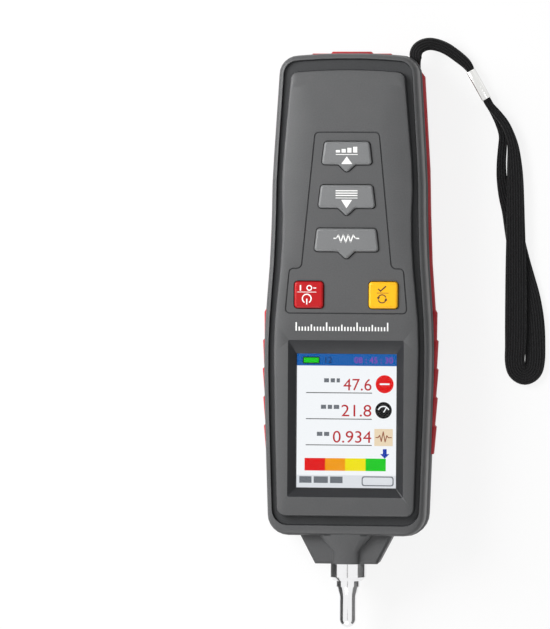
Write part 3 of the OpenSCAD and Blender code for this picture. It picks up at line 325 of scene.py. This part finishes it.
def toObject(bm, name, finish, body, smooth=True, angle=35):
    bmesh.ops.recalc_face_normals(bm, faces=bm.faces)
    finishShading(bm, smooth, angle)
    obj = linkedObject(bm, name, [materials[finish]])
    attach(obj, body)
    return obj


# in millimetres
weld = {"close": 0.002, "collapsed": 0.0005}


def mergedCopy(nodeName):
    # a CAD node's mesh is loose triangles, so a copy of it is welded
    bm = bmesh.new()
    bm.from_mesh(nodes[nodeName].data)
    bmesh.ops.remove_doubles(bm, verts=bm.verts, dist=weld["close"] * mm)
    bmesh.ops.dissolve_degenerate(bm, edges=bm.edges, dist=weld["collapsed"] * mm)
    return bm


def paint(bm, pick):
    for face in bm.faces:
        face.material_index = pick(face)


def bevelEdges(bm, edges, offsetMm, segments, material=-1, clamped=False):
    # a material of -1 gives the new faces that of their neighbours
    bmesh.ops.bevel(bm, geom=edges, offset=offsetMm * mm, offset_type="OFFSET", segments=segments,
                    profile=0.5, affect="EDGES", clamp_overlap=clamped, material=material)


def dress(bm, nodeName, name, finishes, body, angle):
    finishShading(bm, True, angle)
    obj = linkedObject(bm, name, [materials[finish] for finish in finishes])
    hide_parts(nodeName)
    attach(obj, body)


def outlineSolid(bm, points, z, thickness):
    # a thin closed plate on a given outline, all in millimetres
    verts = [bm.verts.new((x * mm, y * mm, z * mm)) for x, y in points]
    face = bm.faces.new(verts)
    made = bmesh.ops.extrude_face_region(bm, geom=[face])
    raised = [v for v in made["geom"] if isinstance(v, bmesh.types.BMVert)]
    bmesh.ops.translate(bm, verts=raised, vec=(0, 0, thickness * mm))


# outlines in millimetres

def bar(x0, y0, x1, y1):
    return [(x0, y0), (x1, y0), (x1, y1), (x0, y1)]


def arc(x, y, r, start, end, steps):
    angles = [math.radians(start + (end - start) * k / steps) for k in range(steps + 1)]
    return [(x + r * math.cos(a), y + r * math.sin(a)) for a in angles]


def roundBar(x0, y0, x1, y1, r, steps=4):
    corners = ((x1 - r, y0 + r, -90), (x1 - r, y1 - r, 0), (x0 + r, y1 - r, 90), (x0 + r, y0 + r, 180))
    return [point for cx, cy, start in corners for point in arc(cx, cy, r, start, start + 90, steps)]


def disc(x, y, r, steps=32):
    return arc(x, y, r, 0, 360, steps)[:-1]


def arcBand(x, y, r, width, start, end, steps=24):
    inner = arc(x, y, r - width / 2, start, end, steps)
    return arc(x, y, r + width / 2, start, end, steps) + inner[::-1]


def stroke(points, width):
    # straight runs of that width, with a round joint at each corner
    shapes = []
    for a, b in zip(points, points[1:]):
        d = Vector((b[0] - a[0], b[1] - a[1])).normalized() * width / 2
        shapes.append([(a[0] + d.y, a[1] - d.x), (b[0] + d.y, b[1] - d.x),
                       (b[0] - d.y, b[1] + d.x), (a[0] - d.y, a[1] + d.x)])
    return shapes + [disc(x, y, width / 2, steps=10) for x, y in points[1:-1]]


# in the font's own units
fontWeld = 0.0001


def digits(bm, text, right, y, height, z, thickness, stretch):
    # plain numbers from Blender's own font, set to the right and made a mesh before they are placed
    curve = bpy.data.curves.new("digits", "FONT")
    curve.body = text
    curve.size = 1
    curve.align_x = "RIGHT"
    helper = bpy.data.objects.new("digits", curve)
    bpy.context.scene.collection.objects.link(helper)
    mesh = bpy.data.meshes.new_from_object(helper.evaluated_get(bpy.context.evaluated_depsgraph_get()))
    bpy.data.objects.remove(helper)
    top = max(v.co.y for v in mesh.vertices)
    low = min(v.co.y for v in mesh.vertices)
    k = height / (top - low)
    part = bmesh.new()
    part.from_mesh(mesh)
    bmesh.ops.remove_doubles(part, verts=part.verts, dist=fontWeld)
    made = bmesh.ops.extrude_face_region(part, geom=part.faces[:])
    raised = [v for v in made["geom"] if isinstance(v, bmesh.types.BMVert)]
    for v in part.verts:
        v.co = Vector(((right + v.co.x * k * stretch) * mm, (y + (v.co.y - low) * k) * mm, z * mm))
    bmesh.ops.translate(part, verts=raised, vec=(0, 0, thickness * mm))
    bmesh.ops.recalc_face_normals(part, faces=part.faces)
    part.to_mesh(mesh)
    part.free()
    bm.from_mesh(mesh)
    bpy.data.meshes.remove(mesh)


# wrist strap: a short lead from the bar in the corner, a crimp, and the long loop
strapLead = {
    "route": [(20.5, 102.7, 8.2), (19.5, 101, 8.2), (19.8, 99.4, 8.2), (21.3, 98.3, 8.2), (23, 98.5, 8.2),
              (24.2, 99.8, 8.2), (24.3, 101.3, 8.2), (23.5, 103.2, 8.1), (23.2, 105.3, 7.6),
              (24.1, 107.3, 6.8), (26, 108.6, 5.9), (28.4, 109.1, 5), (31.4, 108.6, 4.1), (34.3, 107.4, 3.3),
              (36.8, 105.8, 2.7), (39.2, 104, 2.2), (41.2, 102.3, 1.8), (42.5, 100.7, 1.6),
              (43.2, 99.4, 1.6)],
    "wide": [1.6, 1.6, 1.6, 1.6, 1.6, 1.6, 1.6, 4, 4.6, 4.7, 4.7, 4.6, 4.5, 4.4, 4.3, 4.2, 3.9, 3.4, 2.8],
    "thick": [4.2, 4.2, 4.2, 4.2, 4.2, 4.2, 4.2, 3.4, 2.8, 2.6, 2.6, 2.6, 2.4, 2.4, 2.2, 2.2, 2.2, 2, 1.8],
}
strapLoop = {
    "route": [(49.1, 88.9, 2.4), (50.4, 86.6, 2.4), (53.2, 83.4, 2.6), (56, 79.8, 2.8), (58, 75.4, 2.9),
              (59.1, 71, 2.9), (59.6, 65.2, 2.9), (59.9, 59.5, 2.9), (60.1, 52.5, 2.9), (60.2, 45, 2.9),
              (60.3, 36, 2.9), (60.4, 26, 2.9), (60.5, 14, 2.9), (60.5, 4, 2.9), (60.4, -2.4, 2.9),
              (60.2, -7.6, 2.7), (61.1, -11.3, 2.3), (63.9, -12.9, 1.9), (66.7, -11.3, 1.5),
              (67.6, -7.6, 1.15), (67.6, -2.4, 0.95), (67.2, 4, 0.95), (66.6, 10, 0.95), (65.4, 16.5, 0.95),
              (63.9, 22, 0.95), (62.1, 28.5, 0.95), (60.5, 35, 0.95), (59.3, 41, 0.95), (58, 47.5, 0.95),
              (56.2, 53.5, 0.95), (54.9, 59.7, 0.95), (54.7, 65.5, 0.95), (55, 70.5, 0.95),
              (55.2, 75.5, 0.95), (53.9, 80, 0.95), (52, 84, 0.9), (50.4, 86.6, 0.8), (49.1, 88.9, 0.8)],
    "share": [0.36, 0.36, 0.39, 0.4, 0.44, 0.54, 0.68, 0.76, 0.8, 0.84, 0.9, 0.96, 1, 1, 0.96, 0.92, 0.9, 0.9,
              0.9, 0.92, 0.95, 1, 0.98, 0.95, 0.93, 0.9, 0.88, 0.83, 0.75, 0.63, 0.49, 0.44, 0.42, 0.39, 0.39,
              0.38, 0.36, 0.36],
    "width": 8, "thickness": 1.8, "crimpedThickness": 1.4,
}
# sweep: rings from one route point to the next, corners in a ring, and how square its sides and faces are
sweep = {"rings": 5, "corners": 20, "sideFullness": 0.45, "faceFullness": 0.8, "glance": 0.05}


def splinePoint(values, t):
    # Catmull-Rom through values at t from 0 to len - 1
    i = min(int(t), len(values) - 2)
    f = t - i
    a, b, c, d = (values[max(min(j, len(values) - 1), 0)] for j in (i - 1, i, i + 1, i + 2))
    cubic = 3 * b - a - 3 * c + d
    return 0.5 * ((2 * b) + (c - a) * f + (2 * a - 5 * b + 4 * c - d) * f * f + cubic * f ** 3)


def fullness(value, power):
    return math.copysign(abs(value) ** power, value)


def placeKey(co):
    return tuple(round(c, 9) for c in co)


def sweepBand(bm, route, wide, thick):
    # a ring is made once and extruded from place to place along the smooth route
    route = [Vector(p) * mm for p in route]
    last = len(route) - 1
    uvLayer = bm.loops.layers.uv.new("tape")
    ring = bmesh.ops.create_circle(bm, segments=sweep["corners"], radius=1, cap_ends=True)["verts"]
    ring.sort(key=lambda v: math.atan2(v.co.y, v.co.x))
    edges = bm.edges[:]
    around, along, path, travelled = {}, {}, [], 0
    for k in range(last * sweep["rings"] + 1):
        t = k / sweep["rings"]
        centre = splinePoint(route, t)
        before, after = max(t - sweep["glance"], 0), min(t + sweep["glance"], last)
        ahead = (splinePoint(route, after) - splinePoint(route, before)).normalized()
        side = ahead.cross(Vector((0, 0, 1))).normalized()
        over = side.cross(ahead)
        w, h = splinePoint(wide, t) * mm / 2, splinePoint(thick, t) * mm / 2
        if path:
            travelled += (centre - path[-1]).length
            made = bmesh.ops.extrude_edge_only(bm, edges=edges)["geom"]
            fresh = {placeKey(g.co): g for g in made if isinstance(g, bmesh.types.BMVert)}
            ring = [fresh[placeKey(v.co)] for v in ring]
            edges = [g for g in made if isinstance(g, bmesh.types.BMEdge) and all(v in ring for v in g.verts)]
        for j, v in enumerate(ring):
            a = 2 * math.pi * j / sweep["corners"]
            x = fullness(math.cos(a), sweep["sideFullness"])
            y = fullness(math.sin(a), sweep["faceFullness"])
            v.co = centre + side * w * x + over * h * y
            around[v], along[v] = x * w / mm, travelled / mm
        path.append(centre)
    bmesh.ops.contextual_create(bm, geom=edges)
    for face in bm.faces:
        for loop in face.loops:
            loop[uvLayer].uv = (around[loop.vert], along[loop.vert])
    return [tuple(p) for p in path], travelled


def makeStrap(name, nodeName, route, wide, thick):
    bm = bmesh.new()
    path, length = sweepBand(bm, route, wide, thick)
    obj = toObject(bm, name, "ribbon", "casing", angle=70)
    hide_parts(nodeName)
    return obj, path, length


# crimp: a flat metal sleeve folded round the tapes, with its seam along the top; facing and sideways are
# the share of a normal that tells a face across an axis from one along it
crimp = {"from": (43.2, 99.4, 1.6), "to": (49.1, 88.9, 1.6), "width": 3.5, "thick": 3.2, "round": 0.55,
         "seamFrom": -0.12, "seamTo": 0.1, "seamNear": 0.1, "seamDepth": 0.3, "seamRim": 0.08,
         "mouthRound": 0.12, "facing": 0.9, "sideways": 0.1}


def atMouth(edge):
    turned = [abs(f.normal.x) for f in edge.link_faces]
    return len(turned) == 2 and min(turned) < crimp["sideways"] and max(turned) > crimp["facing"]


def makeCrimp(c):
    a, b = Vector(c["from"]) * mm, Vector(c["to"]) * mm
    length = (b - a).length
    bm = bmesh.new()
    bmesh.ops.create_cube(bm, size=1)
    bmesh.ops.scale(bm, verts=bm.verts, vec=(length, c["width"] * mm, c["thick"] * mm))
    lengthwise = [e for e in bm.edges if abs(e.verts[0].co.x - e.verts[1].co.x) > length / 2]
    bevelEdges(bm, lengthwise, c["round"], 4)
    for share in (c["seamFrom"], c["seamTo"]):
        bmesh.ops.bisect_plane(bm, geom=bm.verts[:] + bm.edges[:] + bm.faces[:],
                               plane_co=(0, share * c["width"] * mm, 0), plane_no=(0, 1, 0))
    middle = (c["seamFrom"] + c["seamTo"]) / 2 * c["width"] * mm
    upper = [f for f in bm.faces if f.normal.z > c["facing"]]
    seam = [f for f in upper if abs(f.calc_center_median().y - middle) < c["seamNear"] * mm]
    bmesh.ops.inset_region(bm, faces=seam, thickness=c["seamRim"] * mm, depth=-c["seamDepth"] * mm)
    bevelEdges(bm, [e for e in bm.edges if atMouth(e)], c["mouthRound"], 2)
    turn = Matrix.Rotation(math.atan2(b.y - a.y, b.x - a.x), 4, "Z")
    bmesh.ops.transform(bm, matrix=Matrix.Translation((a + b) / 2) @ turn, verts=bm.verts)
    obj = toObject(bm, "strapCrimpSleeve", "crimpMetal", "casing", angle=40)
    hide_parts("strap_crimp")
    return obj


crimpSleeve = makeCrimp(crimp)
lead, leadPath, leadLength = makeStrap("strapShortRun", "strap_lead", strapLead["route"], strapLead["wide"],
                                       strapLead["thick"])
loopWide = [strapLoop["width"] * share for share in strapLoop["share"]]
# the tape is pressed thinner in the crimp, at its first two and last three points
loopThick = [strapLoop["thickness"]] * len(loopWide)
loopThick[:2] = [strapLoop["crimpedThickness"]] * 2
loopThick[-3:] = [strapLoop["crimpedThickness"]] * 3
loop, loopPath, loopLength = makeStrap("strapLongLoop", "strap_loop", strapLoop["route"], loopWide, loopThick)
print("strap made", round(leadLength, 4), round(loopLength, 4))


# casing: front half, whose channel and groove are painted darker and whose screen recess and key openings are
# painted black, both as painted shade, and the back half; places in millimetres
front = {"recess": (-21.6, 21.6, -57.6, 0.1), "recessZ": (25.9, 29.9), "channelZ": (26.5, 27.0, 29.25),
         "grooveZ": (29.6, 29.7), "keysX": 21, "keysY": (5, 78), "wallZ": 29.5, "upright": 0.3,
         "edgeZ": 29.9, "edgeAngle": 0.9, "edgeSlant": 0.42}
# slots of the front half: plain, painted darker shade in the channel and groove, painted black shade in the
# recess and key openings
plain, darkerShade, blackShade = 0, 1, 2


def amongKeys(c):
    return abs(c.x) < front["keysX"] and front["keysY"][0] < c.y < front["keysY"][1]


def isUpright(face):
    return abs(face.normal.z) < front["upright"]


def frontFinish(face):
    zs = [v.co.z / mm for v in face.verts]
    low, high = min(zs), max(zs)
    c = face.calc_center_median() / mm
    x0, x1, y0, y1 = front["recess"]
    # the recess round the screen is painted black, as painted shade
    if x0 < c.x < x1 and y0 < c.y < y1 and front["recessZ"][0] < low < front["recessZ"][1]:
        return blackShade
    # the channel and the engraved groove are painted darker, as painted shade
    if front["channelZ"][0] < low < front["channelZ"][1] and high < front["channelZ"][2]:
        return darkerShade
    if front["grooveZ"][0] < low and high < front["grooveZ"][1]:
        return darkerShade
    # the upright walls of the key openings are painted black, as painted shade in the gaps round the keys
    return blackShade if amongKeys(c) and isUpright(face) and high > front["wallZ"] else plain


def isOpeningEdge(edge):
    # the upper edges of the key openings
    if len(edge.link_faces) != 2 or edge.calc_face_angle() < front["edgeAngle"]:
        return False
    walls = [f for f in edge.link_faces if f.material_index == blackShade and isUpright(f)]
    high = min(v.co.z for v in edge.verts) > front["edgeZ"] * mm
    return len(walls) == 1 and high and amongKeys((edge.verts[0].co + edge.verts[1].co) / 2 / mm)


def makeFront():
    bm = mergedCopy("front_shell")
    paint(bm, frontFinish)
    # the mould leaves the edges of the key openings a little slanted; the slants are painted black, as
    # painted shade in the gaps round the keys
    bevelEdges(bm, [e for e in bm.edges if isOpeningEdge(e)], front["edgeSlant"], 1, blackShade, True)
    dress(bm, "front_shell", "frontHalf", ["frontAbs", "channelShadeAbs", "recessShadeAbs"], "casing",
          38)


def dressNode(nodeName, name, finish, body, angle):
    dress(mergedCopy(nodeName), nodeName, name, [finish], body, angle)


makeFront()
dressNode("rear_shell", "backHalf", "rearAbs", "casing", 38)
dressNode("grip_rubber", "redGrip", "gripRubber", "casing", 30)
dressNode("battery_cover", "batteryCover", "rearAbs", "cover", 38)
dressNode("display_window", "clearScreenWindow", "window", "casing", 30)
print("casing made")


# keys: smooth-shaded caps, set down by the thickness of their print
inkThickness = 0.03
keyCap = {"topBand": 0.01, "crownBand": 0.04, "rim": 0.25}
keyFinish = {"upper_key": "greyKey", "middle_key": "greyKey", "measure_key": "greyKey",
             "power_key": "redKey", "enter_key": "yellowKey"}


def makeKey(nodeName, finish):
    bm = mergedCopy(nodeName)
    top = max(v.co.z for v in bm.verts)
    raised = [v for v in bm.verts if v.co.z > top - keyCap["topBand"] * mm]
    bmesh.ops.translate(bm, verts=raised, vec=(0, 0, -inkThickness * mm))
    crown = [f for f in bm.faces if min(v.co.z for v in f.verts) > top - keyCap["crownBand"] * mm]
    bmesh.ops.inset_region(bm, faces=crown, thickness=keyCap["rim"] * mm)
    name = nodeName.split("_")[0] + "KeyCap"
    obj = toObject(bm, name, finish, nodeName, angle=40)
    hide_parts(nodeName)


for nodeName, finish in keyFinish.items():
    makeKey(nodeName, finish)


# prints on the keys: plain symbols in the places of the words, in millimetres
def printOn(name, nodeName, finish, shapes):
    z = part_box(nodeName)[1].z / mm - inkThickness
    bm = bmesh.new()
    for points in shapes:
        outlineSolid(bm, points, z, inkThickness)
    toObject(bm, name, finish, nodeName, smooth=False)


markLine = 0.42
risingBars = {"x": -4, "pitch": 2.1, "width": 1.5, "y": 68.2, "first": 0.9, "rise": 0.4, "count": 4}
levelLines = {"x": 4, "y": 52.4, "pitch": 0.85, "thick": 0.4, "count": 3}


def makeRisingBars(s):
    lefts = [s["x"] + s["pitch"] * k for k in range(s["count"])]
    return [bar(x, s["y"], x + s["width"], s["y"] + s["first"] + s["rise"] * k) for k, x in enumerate(lefts)]


def makeLevelLines(s):
    feet = [s["y"] + s["pitch"] * k for k in range(s["count"])]
    return [bar(-s["x"], y, s["x"], y + s["thick"]) for y in feet]


upperMarks = makeRisingBars(risingBars) + [bar(-4, 67.35, 4, 67.6), [(-2, 64.0), (2, 64.0), (0, 66.8)]]
middleMarks = makeLevelLines(levelLines) + [bar(-4, 51.55, 4, 51.8), [(-2, 51.0), (0, 48.0), (2, 51.0)]]
measureMarks = stroke([(-4.7, 37), (-3.6, 37), (-2.9, 38.3), (-2.0, 35.6), (-1.1, 38.4), (-0.2, 35.5),
                       (0.7, 38.4), (1.6, 35.6), (2.5, 38.3), (3.3, 37), (4.7, 37)], width=markLine)
# the power sign, a rule, and a stroke, a ring and a dash
powerMarks = [arcBand(-14.3, 15.0, 1.6, markLine, -60, 240), bar(-14.52, 12.9, -14.08, 15.0),
              bar(-17.8, 17.3, -10.8, 17.5), bar(-16.9, 17.9, -16.4, 19.9),
              arcBand(-13.4, 18.9, 0.85, markLine, 0, 359.9), bar(-11.9, 18.7, -10.9, 19.1)]
# a tick, a rule and two round arrows
turningRing = {"x": 13.2, "y": 15.1, "r": 1.45, "width": 0.4}
enterMarks = stroke([(11.7, 18.7), (12.6, 17.9), (14.6, 19.7)], width=0.5) + [bar(11.2, 17.1, 15.6, 17.3)]
enterMarks += [arcBand(**turningRing, start=start, end=start + 140) for start in (20, 200)]
enterMarks += [[(11.25, 15.7), (12.45, 15.7), (11.75, 14.7)], [(15.15, 14.5), (13.95, 14.5), (14.65, 15.5)]]
printOn("upperKeySymbols", "upper_key", "whiteInk", upperMarks)
printOn("middleKeySymbols", "middle_key", "whiteInk", middleMarks)
printOn("measureKeySymbols", "measure_key", "whiteInk", measureMarks)
printOn("powerKeySymbols", "power_key", "whiteInk", powerMarks)
printOn("enterKeySymbols", "enter_key", "darkInk", enterMarks)
print("keys made")


# a plain scale of ticks on the panel in the place of the title
scaleMarks = {"x0": -18.2, "x1": 15.2, "ticks": 31, "y": 3.3, "width": 0.5, "z": 30.0,
              "small": 1.5, "fifth": 2.3, "tenth": 3.1}


def makeScale(s):
    bm = bmesh.new()
    for k in range(s["ticks"]):
        x = s["x0"] + (s["x1"] - s["x0"]) * k / (s["ticks"] - 1)
        h = s["tenth"] if k % 10 == 0 else s["fifth"] if k % 5 == 0 else s["small"]
        points = bar(x - s["width"] / 2, s["y"], x + s["width"] / 2, s["y"] + h)
        outlineSolid(bm, points, s["z"], inkThickness)
    toObject(bm, "panelScale", "whiteInk", "casing", smooth=False)


makeScale(scaleMarks)


# screen picture: bar, battery, three readings, symbols and a row of colours, on the glass under the window;
# places in millimetres from the middle of the screen
screen = {"x": 0.0, "y": -29.6, "right": 18.35, "top": 24.5, "barHeight": 4.4, "footHeight": 4.6,
          "layer": 0.03, "rowLeft": -15, "rowRight": 9.2, "ruleHeight": 0.3, "digitHeight": 4.3,
          "blockHeight": 1.5, "barDigits": 2.2, "barDigitsY": 21.1}
readings = [
    {"text": "47.6", "y": 11.1, "stretch": 1.0, "rule": 10.05, "unit": 14.0,
     "blocks": [(-8.4, -6.6), (-6.0, -4.4), (-3.8, -2.6)]},
    {"text": "21.8", "y": 1.6, "stretch": 1.08, "rule": 0.5, "unit": 4.3,
     "blocks": [(-9.5, -7.6), (-7.0, -5.4), (-4.8, -2.8)]},
    {"text": "0.934", "y": -8.0, "stretch": 1.06, "rule": -9.05, "unit": -5.6,
     "blocks": [(-10.95, -8.9), (-8.3, -6.4)]},
]
colourRow = {"edges": (-15.4, -7.85, -0.5, 7.0, 14.4), "low": -18.3, "high": -13.7}
# signs beside the readings, the battery in the bar, and the button and the blocks for words at the foot
signs = {"stop": (13.8, 13.5, 3.3), "dial": (13.45, 3.95, 3.05), "card": (10.15, -9.1, 16.9, -2.85)}
battery = {"case": (-16.3, 20.8, -10.0, 23.4, 0.4), "charge": (-15.9, 21.2, -10.4, 23.0)}
button = {"frame": (5.6, -23.8, 17.3, -20.2, 0.9), "face": (6.0, -23.4, 16.9, -20.6, 0.7)}
footWords = {"edges": ((-17.3, -12.8), (-12.0, -6.8), (-6.0, -1.4)), "low": -22.8, "high": -20.4}


def screenLayer(name, finish, shapes, level, texts=()):
    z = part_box("display_glass")[1].z / mm + screen["layer"] * level
    bm = bmesh.new()
    for points in shapes:
        outlineSolid(bm, [(screen["x"] + x, screen["y"] + y) for x, y in points], z, screen["layer"])
    for text, right, y, height, stretch in texts:
        digits(bm, text, screen["x"] + right, screen["y"] + y, height, z, screen["layer"], stretch)
    toObject(bm, name, finish, "casing", smooth=False)


def colourBar(k):
    return bar(colourRow["edges"][k], colourRow["low"], colourRow["edges"][k + 1], colourRow["high"])


def underline(reading):
    return bar(screen["rowLeft"], reading["rule"], screen["rowRight"], reading["rule"] + screen["ruleHeight"])


def barText(text, right):
    return text, right, screen["barDigitsY"], screen["barDigits"], 1.0


w, h = screen["right"], screen["top"]
footTop, barFoot = -h + screen["footHeight"], h - screen["barHeight"]
unitBlocks = [bar(x0, r["unit"], x1, r["unit"] + screen["blockHeight"])
              for r in readings for x0, x1 in r["blocks"]]
footBlocks = [bar(x0, footWords["low"], x1, footWords["high"]) for x0, x1 in footWords["edges"]]
numbers = [(r["text"], screen["rowRight"], r["y"], screen["digitHeight"], r["stretch"]) for r in readings]
heartbeat = [(10.6, -6.0), (11.5, -6.0), (12.1, -5.2), (12.7, -7.4), (13.4, -3.9), (14.1, -7.6), (14.7, -5.3),
             (15.3, -6.0), (16.5, -6.0)]
arrow = [(13.3, -10.2), (13.3, -12.0), (12.3, -12.0), (14, -13.7), (15.7, -12.0), (14.7, -12.0),
         (14.7, -10.2)]
needles = [arcBand(13.45, 3.4, 2.0, 0.45, 20, 160), bar(12.0, 13.2, 15.6, 13.8)]
needles += stroke([(13.45, 3.2), (14.7, 5.2)], width=0.4)
screenLayer("screenBack", "lcdBack", [bar(-w, footTop, w, barFoot)], 0)
screenLayer("screenFoot", "lcdFoot", [bar(-w, -h, w, footTop)], 0)
screenLayer("screenBar", "lcdBlue", [bar(-w, barFoot, w, h)], 0)
screenLayer("screenBlack", "lcdBlack", [roundBar(*battery["case"]), disc(*signs["dial"])]
            + [underline(r) for r in readings], 1, [barText("12", -5.4)])
screenLayer("screenGreen", "lcdGreen", [bar(*battery["charge"])], 2)
screenLayer("screenGreenBar", "lcdGreen", [colourBar(3)], 1)
screenLayer("screenPurple", "lcdPurple", [], 1, [barText("08 : 45 : 30", 16.9)])
screenLayer("screenRed", "lcdRed", [colourBar(0), disc(*signs["stop"])], 1)
screenLayer("screenReadings", "lcdDigit", [], 1, numbers)
screenLayer("screenGrey", "lcdGrey", unitBlocks + footBlocks + [roundBar(*button["frame"])], 1)
screenLayer("screenOrange", "lcdOrange", [colourBar(1)], 1)
screenLayer("screenYellow", "lcdYellow", [colourBar(2)], 1)
screenLayer("screenBeige", "lcdBeige", [bar(*signs["card"])], 1)
screenLayer("screenWave", "lcdBrown", stroke(heartbeat, width=0.32), 2)
screenLayer("screenArrow", "lcdArrow", [arrow], 1)
screenLayer("screenButtonFace", "lcdFoot", [roundBar(*button["face"])], 2)
screenLayer("screenNeedles", "lcdBack", needles, 2)
print("screen made")


# probe and collar, case screws, cells and inner pieces
dressNode("sensor_collar", "probeCollar", "chrome", "casing", 35)
dressNode("probe_tip", "probePin", "chrome", "probe", 25)
dressNode("case_screws", "caseScrews", "steel", "casing", 35)
# cells: lengths in metres, and the share of a normal that points along the cell
cell = {"axisZ": 0.00785, "buttonR": 0.0026, "endFacing": 0.7, "leaning": 0.01}


def cellFinish(face):
    # bare steel on the ends and round the button
    facingEnd = abs(face.normal.y)
    nearAxis = abs(face.calc_center_median().z - cell["axisZ"]) < cell["buttonR"]
    return 1 if facingEnd > cell["endFacing"] or nearAxis and facingEnd > cell["leaning"] else 0


for number in (1, 2, 3):
    bm = mergedCopy(f"battery_{number}")
    paint(bm, cellFinish)
    dress(bm, f"battery_{number}", f"cell{number}", ["cellFilm", "steel"], "casing", 35)

innerFinish = {
    "display_foam": "foam", "display_glass": "epoxy", "display_backlight": "diffuser",
    "display_ribbon": "polyimide", "display_socket": "nylon", "keypad_mat": "silicone",
    "key_contacts": "gold", "main_board": "solderMask", "processor_chip": "epoxy", "signal_chip": "epoxy",
    "board_capacitors": "canMetal", "clock_crystal": "canMetal", "sensor_socket": "nylon",
    "board_screws": "steel", "battery_springs": "springSteel", "battery_plates": "springSteel",
    "sensor_isolator": "blackRubber", "piezo_rings": "ceramic", "seismic_mass": "brass",
    "preload_screw": "steel", "sensor_can": "canMetal", "sensor_lead": "blackRubber",
    "probe_o_ring": "blackRubber",
}
for key in keyFinish:
    innerFinish[key + "_skirt"] = "silicone"
    innerFinish[key + "_pill"] = "carbon"
for nodeName, finish in innerFinish.items():
    obj = nodes[nodeName]
    obj.data.materials.clear()
    obj.data.materials.append(materials[finish])
print("probe, cells and inner pieces finished")


# floor, world, dark flags and lamps, in metres; a lamp has its name, place, size and watts
studio = {"floor": 3.0, "floorZ": -0.0003, "floorGlow": 0.86, "worldLight": 0.32,
          "lamps": [("keyLamp", (-0.36, 0.2, 0.38), 0.3, 3.7), ("fillLamp", (0.6, 0.5, 1.1), 0.5, 0.3),
                    ("endLamp", (-0.1, -0.7, 0.45), 0.4, 2.0)],
          # beside and over the probe, and only its reflections see them
          "flags": [("leftFlag", (-0.024, -0.104, 0.0145), (0.0005, 0.05, 0.027)),
                    ("rightFlag", (0.024, -0.104, 0.0145), (0.0005, 0.05, 0.027)),
                    ("topFlag", (0.006, -0.104, 0.3), (0.02, 0.12, 0.0005))]}
white = (1, 1, 1, 1)


def seenShare(tree):
    # one for a ray from the camera, off a glossy face or through the window
    rays = addNode(tree, "ShaderNodeLightPath")
    seen = addMath(tree, "MAXIMUM", {0: rays.outputs["Is Camera Ray"], 1: rays.outputs["Is Glossy Ray"]})
    return addMath(tree, "MAXIMUM", {0: seen, 1: rays.outputs["Is Transmission Ray"]})


def addMixed(tree, share, first, second):
    return addNode(tree, "ShaderNodeMixShader", {}, {0: share, 1: first.outputs[0], 2: second.outputs[0]})


def makeFloor(s):
    bm = bmesh.new()
    bmesh.ops.create_grid(bm, x_segments=1, y_segments=1, size=s["floor"])
    bmesh.ops.translate(bm, verts=bm.verts, vec=(0, 0, s["floorZ"]))
    material, tree = startMaterial("whitePaper")
    matt = addNode(tree, "ShaderNodeBsdfDiffuse", {"Color": tone("#f4f4f4")})
    glow = addNode(tree, "ShaderNodeEmission", {"Color": white, "Strength": 1.0})
    share = addMath(tree, "MULTIPLY", {0: seenShare(tree)}, {1: s["floorGlow"]})
    # nothing of the paper shows from beneath, so that the back can be seen
    beneath = addNode(tree, "ShaderNodeNewGeometry").outputs["Backfacing"]
    clear = addNode(tree, "ShaderNodeBsdfTransparent", {"Color": white})
    closeMaterial(tree, addMixed(tree, beneath, addMixed(tree, share, matt, glow), clear))
    linkedObject(bm, "paleFloor", [material])


def makeWorld(s):
    world = bpy.data.worlds.new("studioWorld")
    world.use_nodes = True
    tree = world.node_tree
    tree.nodes.clear()
    light = addNode(tree, "ShaderNodeBackground", {"Color": white, "Strength": s["worldLight"]})
    seenWhite = addNode(tree, "ShaderNodeBackground", {"Color": white, "Strength": 1.0})
    mixed = addMixed(tree, seenShare(tree), light, seenWhite)
    addNode(tree, "ShaderNodeOutputWorld", {}, {"Surface": mixed.outputs[0]})
    bpy.context.scene.world = world


def makeFlags(s):
    material, tree = startMaterial("darkFlagCloth")
    closeMaterial(tree, addNode(tree, "ShaderNodeBsdfDiffuse", {"Color": tone("#727272")}))
    for name, centre, size in s["flags"]:
        bm = bmesh.new()
        bmesh.ops.create_cube(bm, size=1)
        bmesh.ops.scale(bm, verts=bm.verts, vec=size)
        bmesh.ops.translate(bm, verts=bm.verts, vec=centre)
        flag = linkedObject(bm, name, [material])
        flag.visible_camera = flag.visible_diffuse = flag.visible_shadow = flag.visible_transmission = False


def makeLamps(s):
    for name, place, size, power in s["lamps"]:
        data = bpy.data.lights.new(name, "AREA")
        data.size = size
        data.energy = power
        lamp = bpy.data.objects.new(name, data)
        bpy.context.scene.collection.objects.link(lamp)
        lamp.location = place
        lamp.rotation_euler = (-Vector(place)).to_track_quat("-Z", "Y").to_euler()


makeFloor(studio)
makeWorld(studio)
makeFlags(studio)
makeLamps(studio)
bpy.context.scene.view_settings.view_transform = "Standard"
print("studio made")
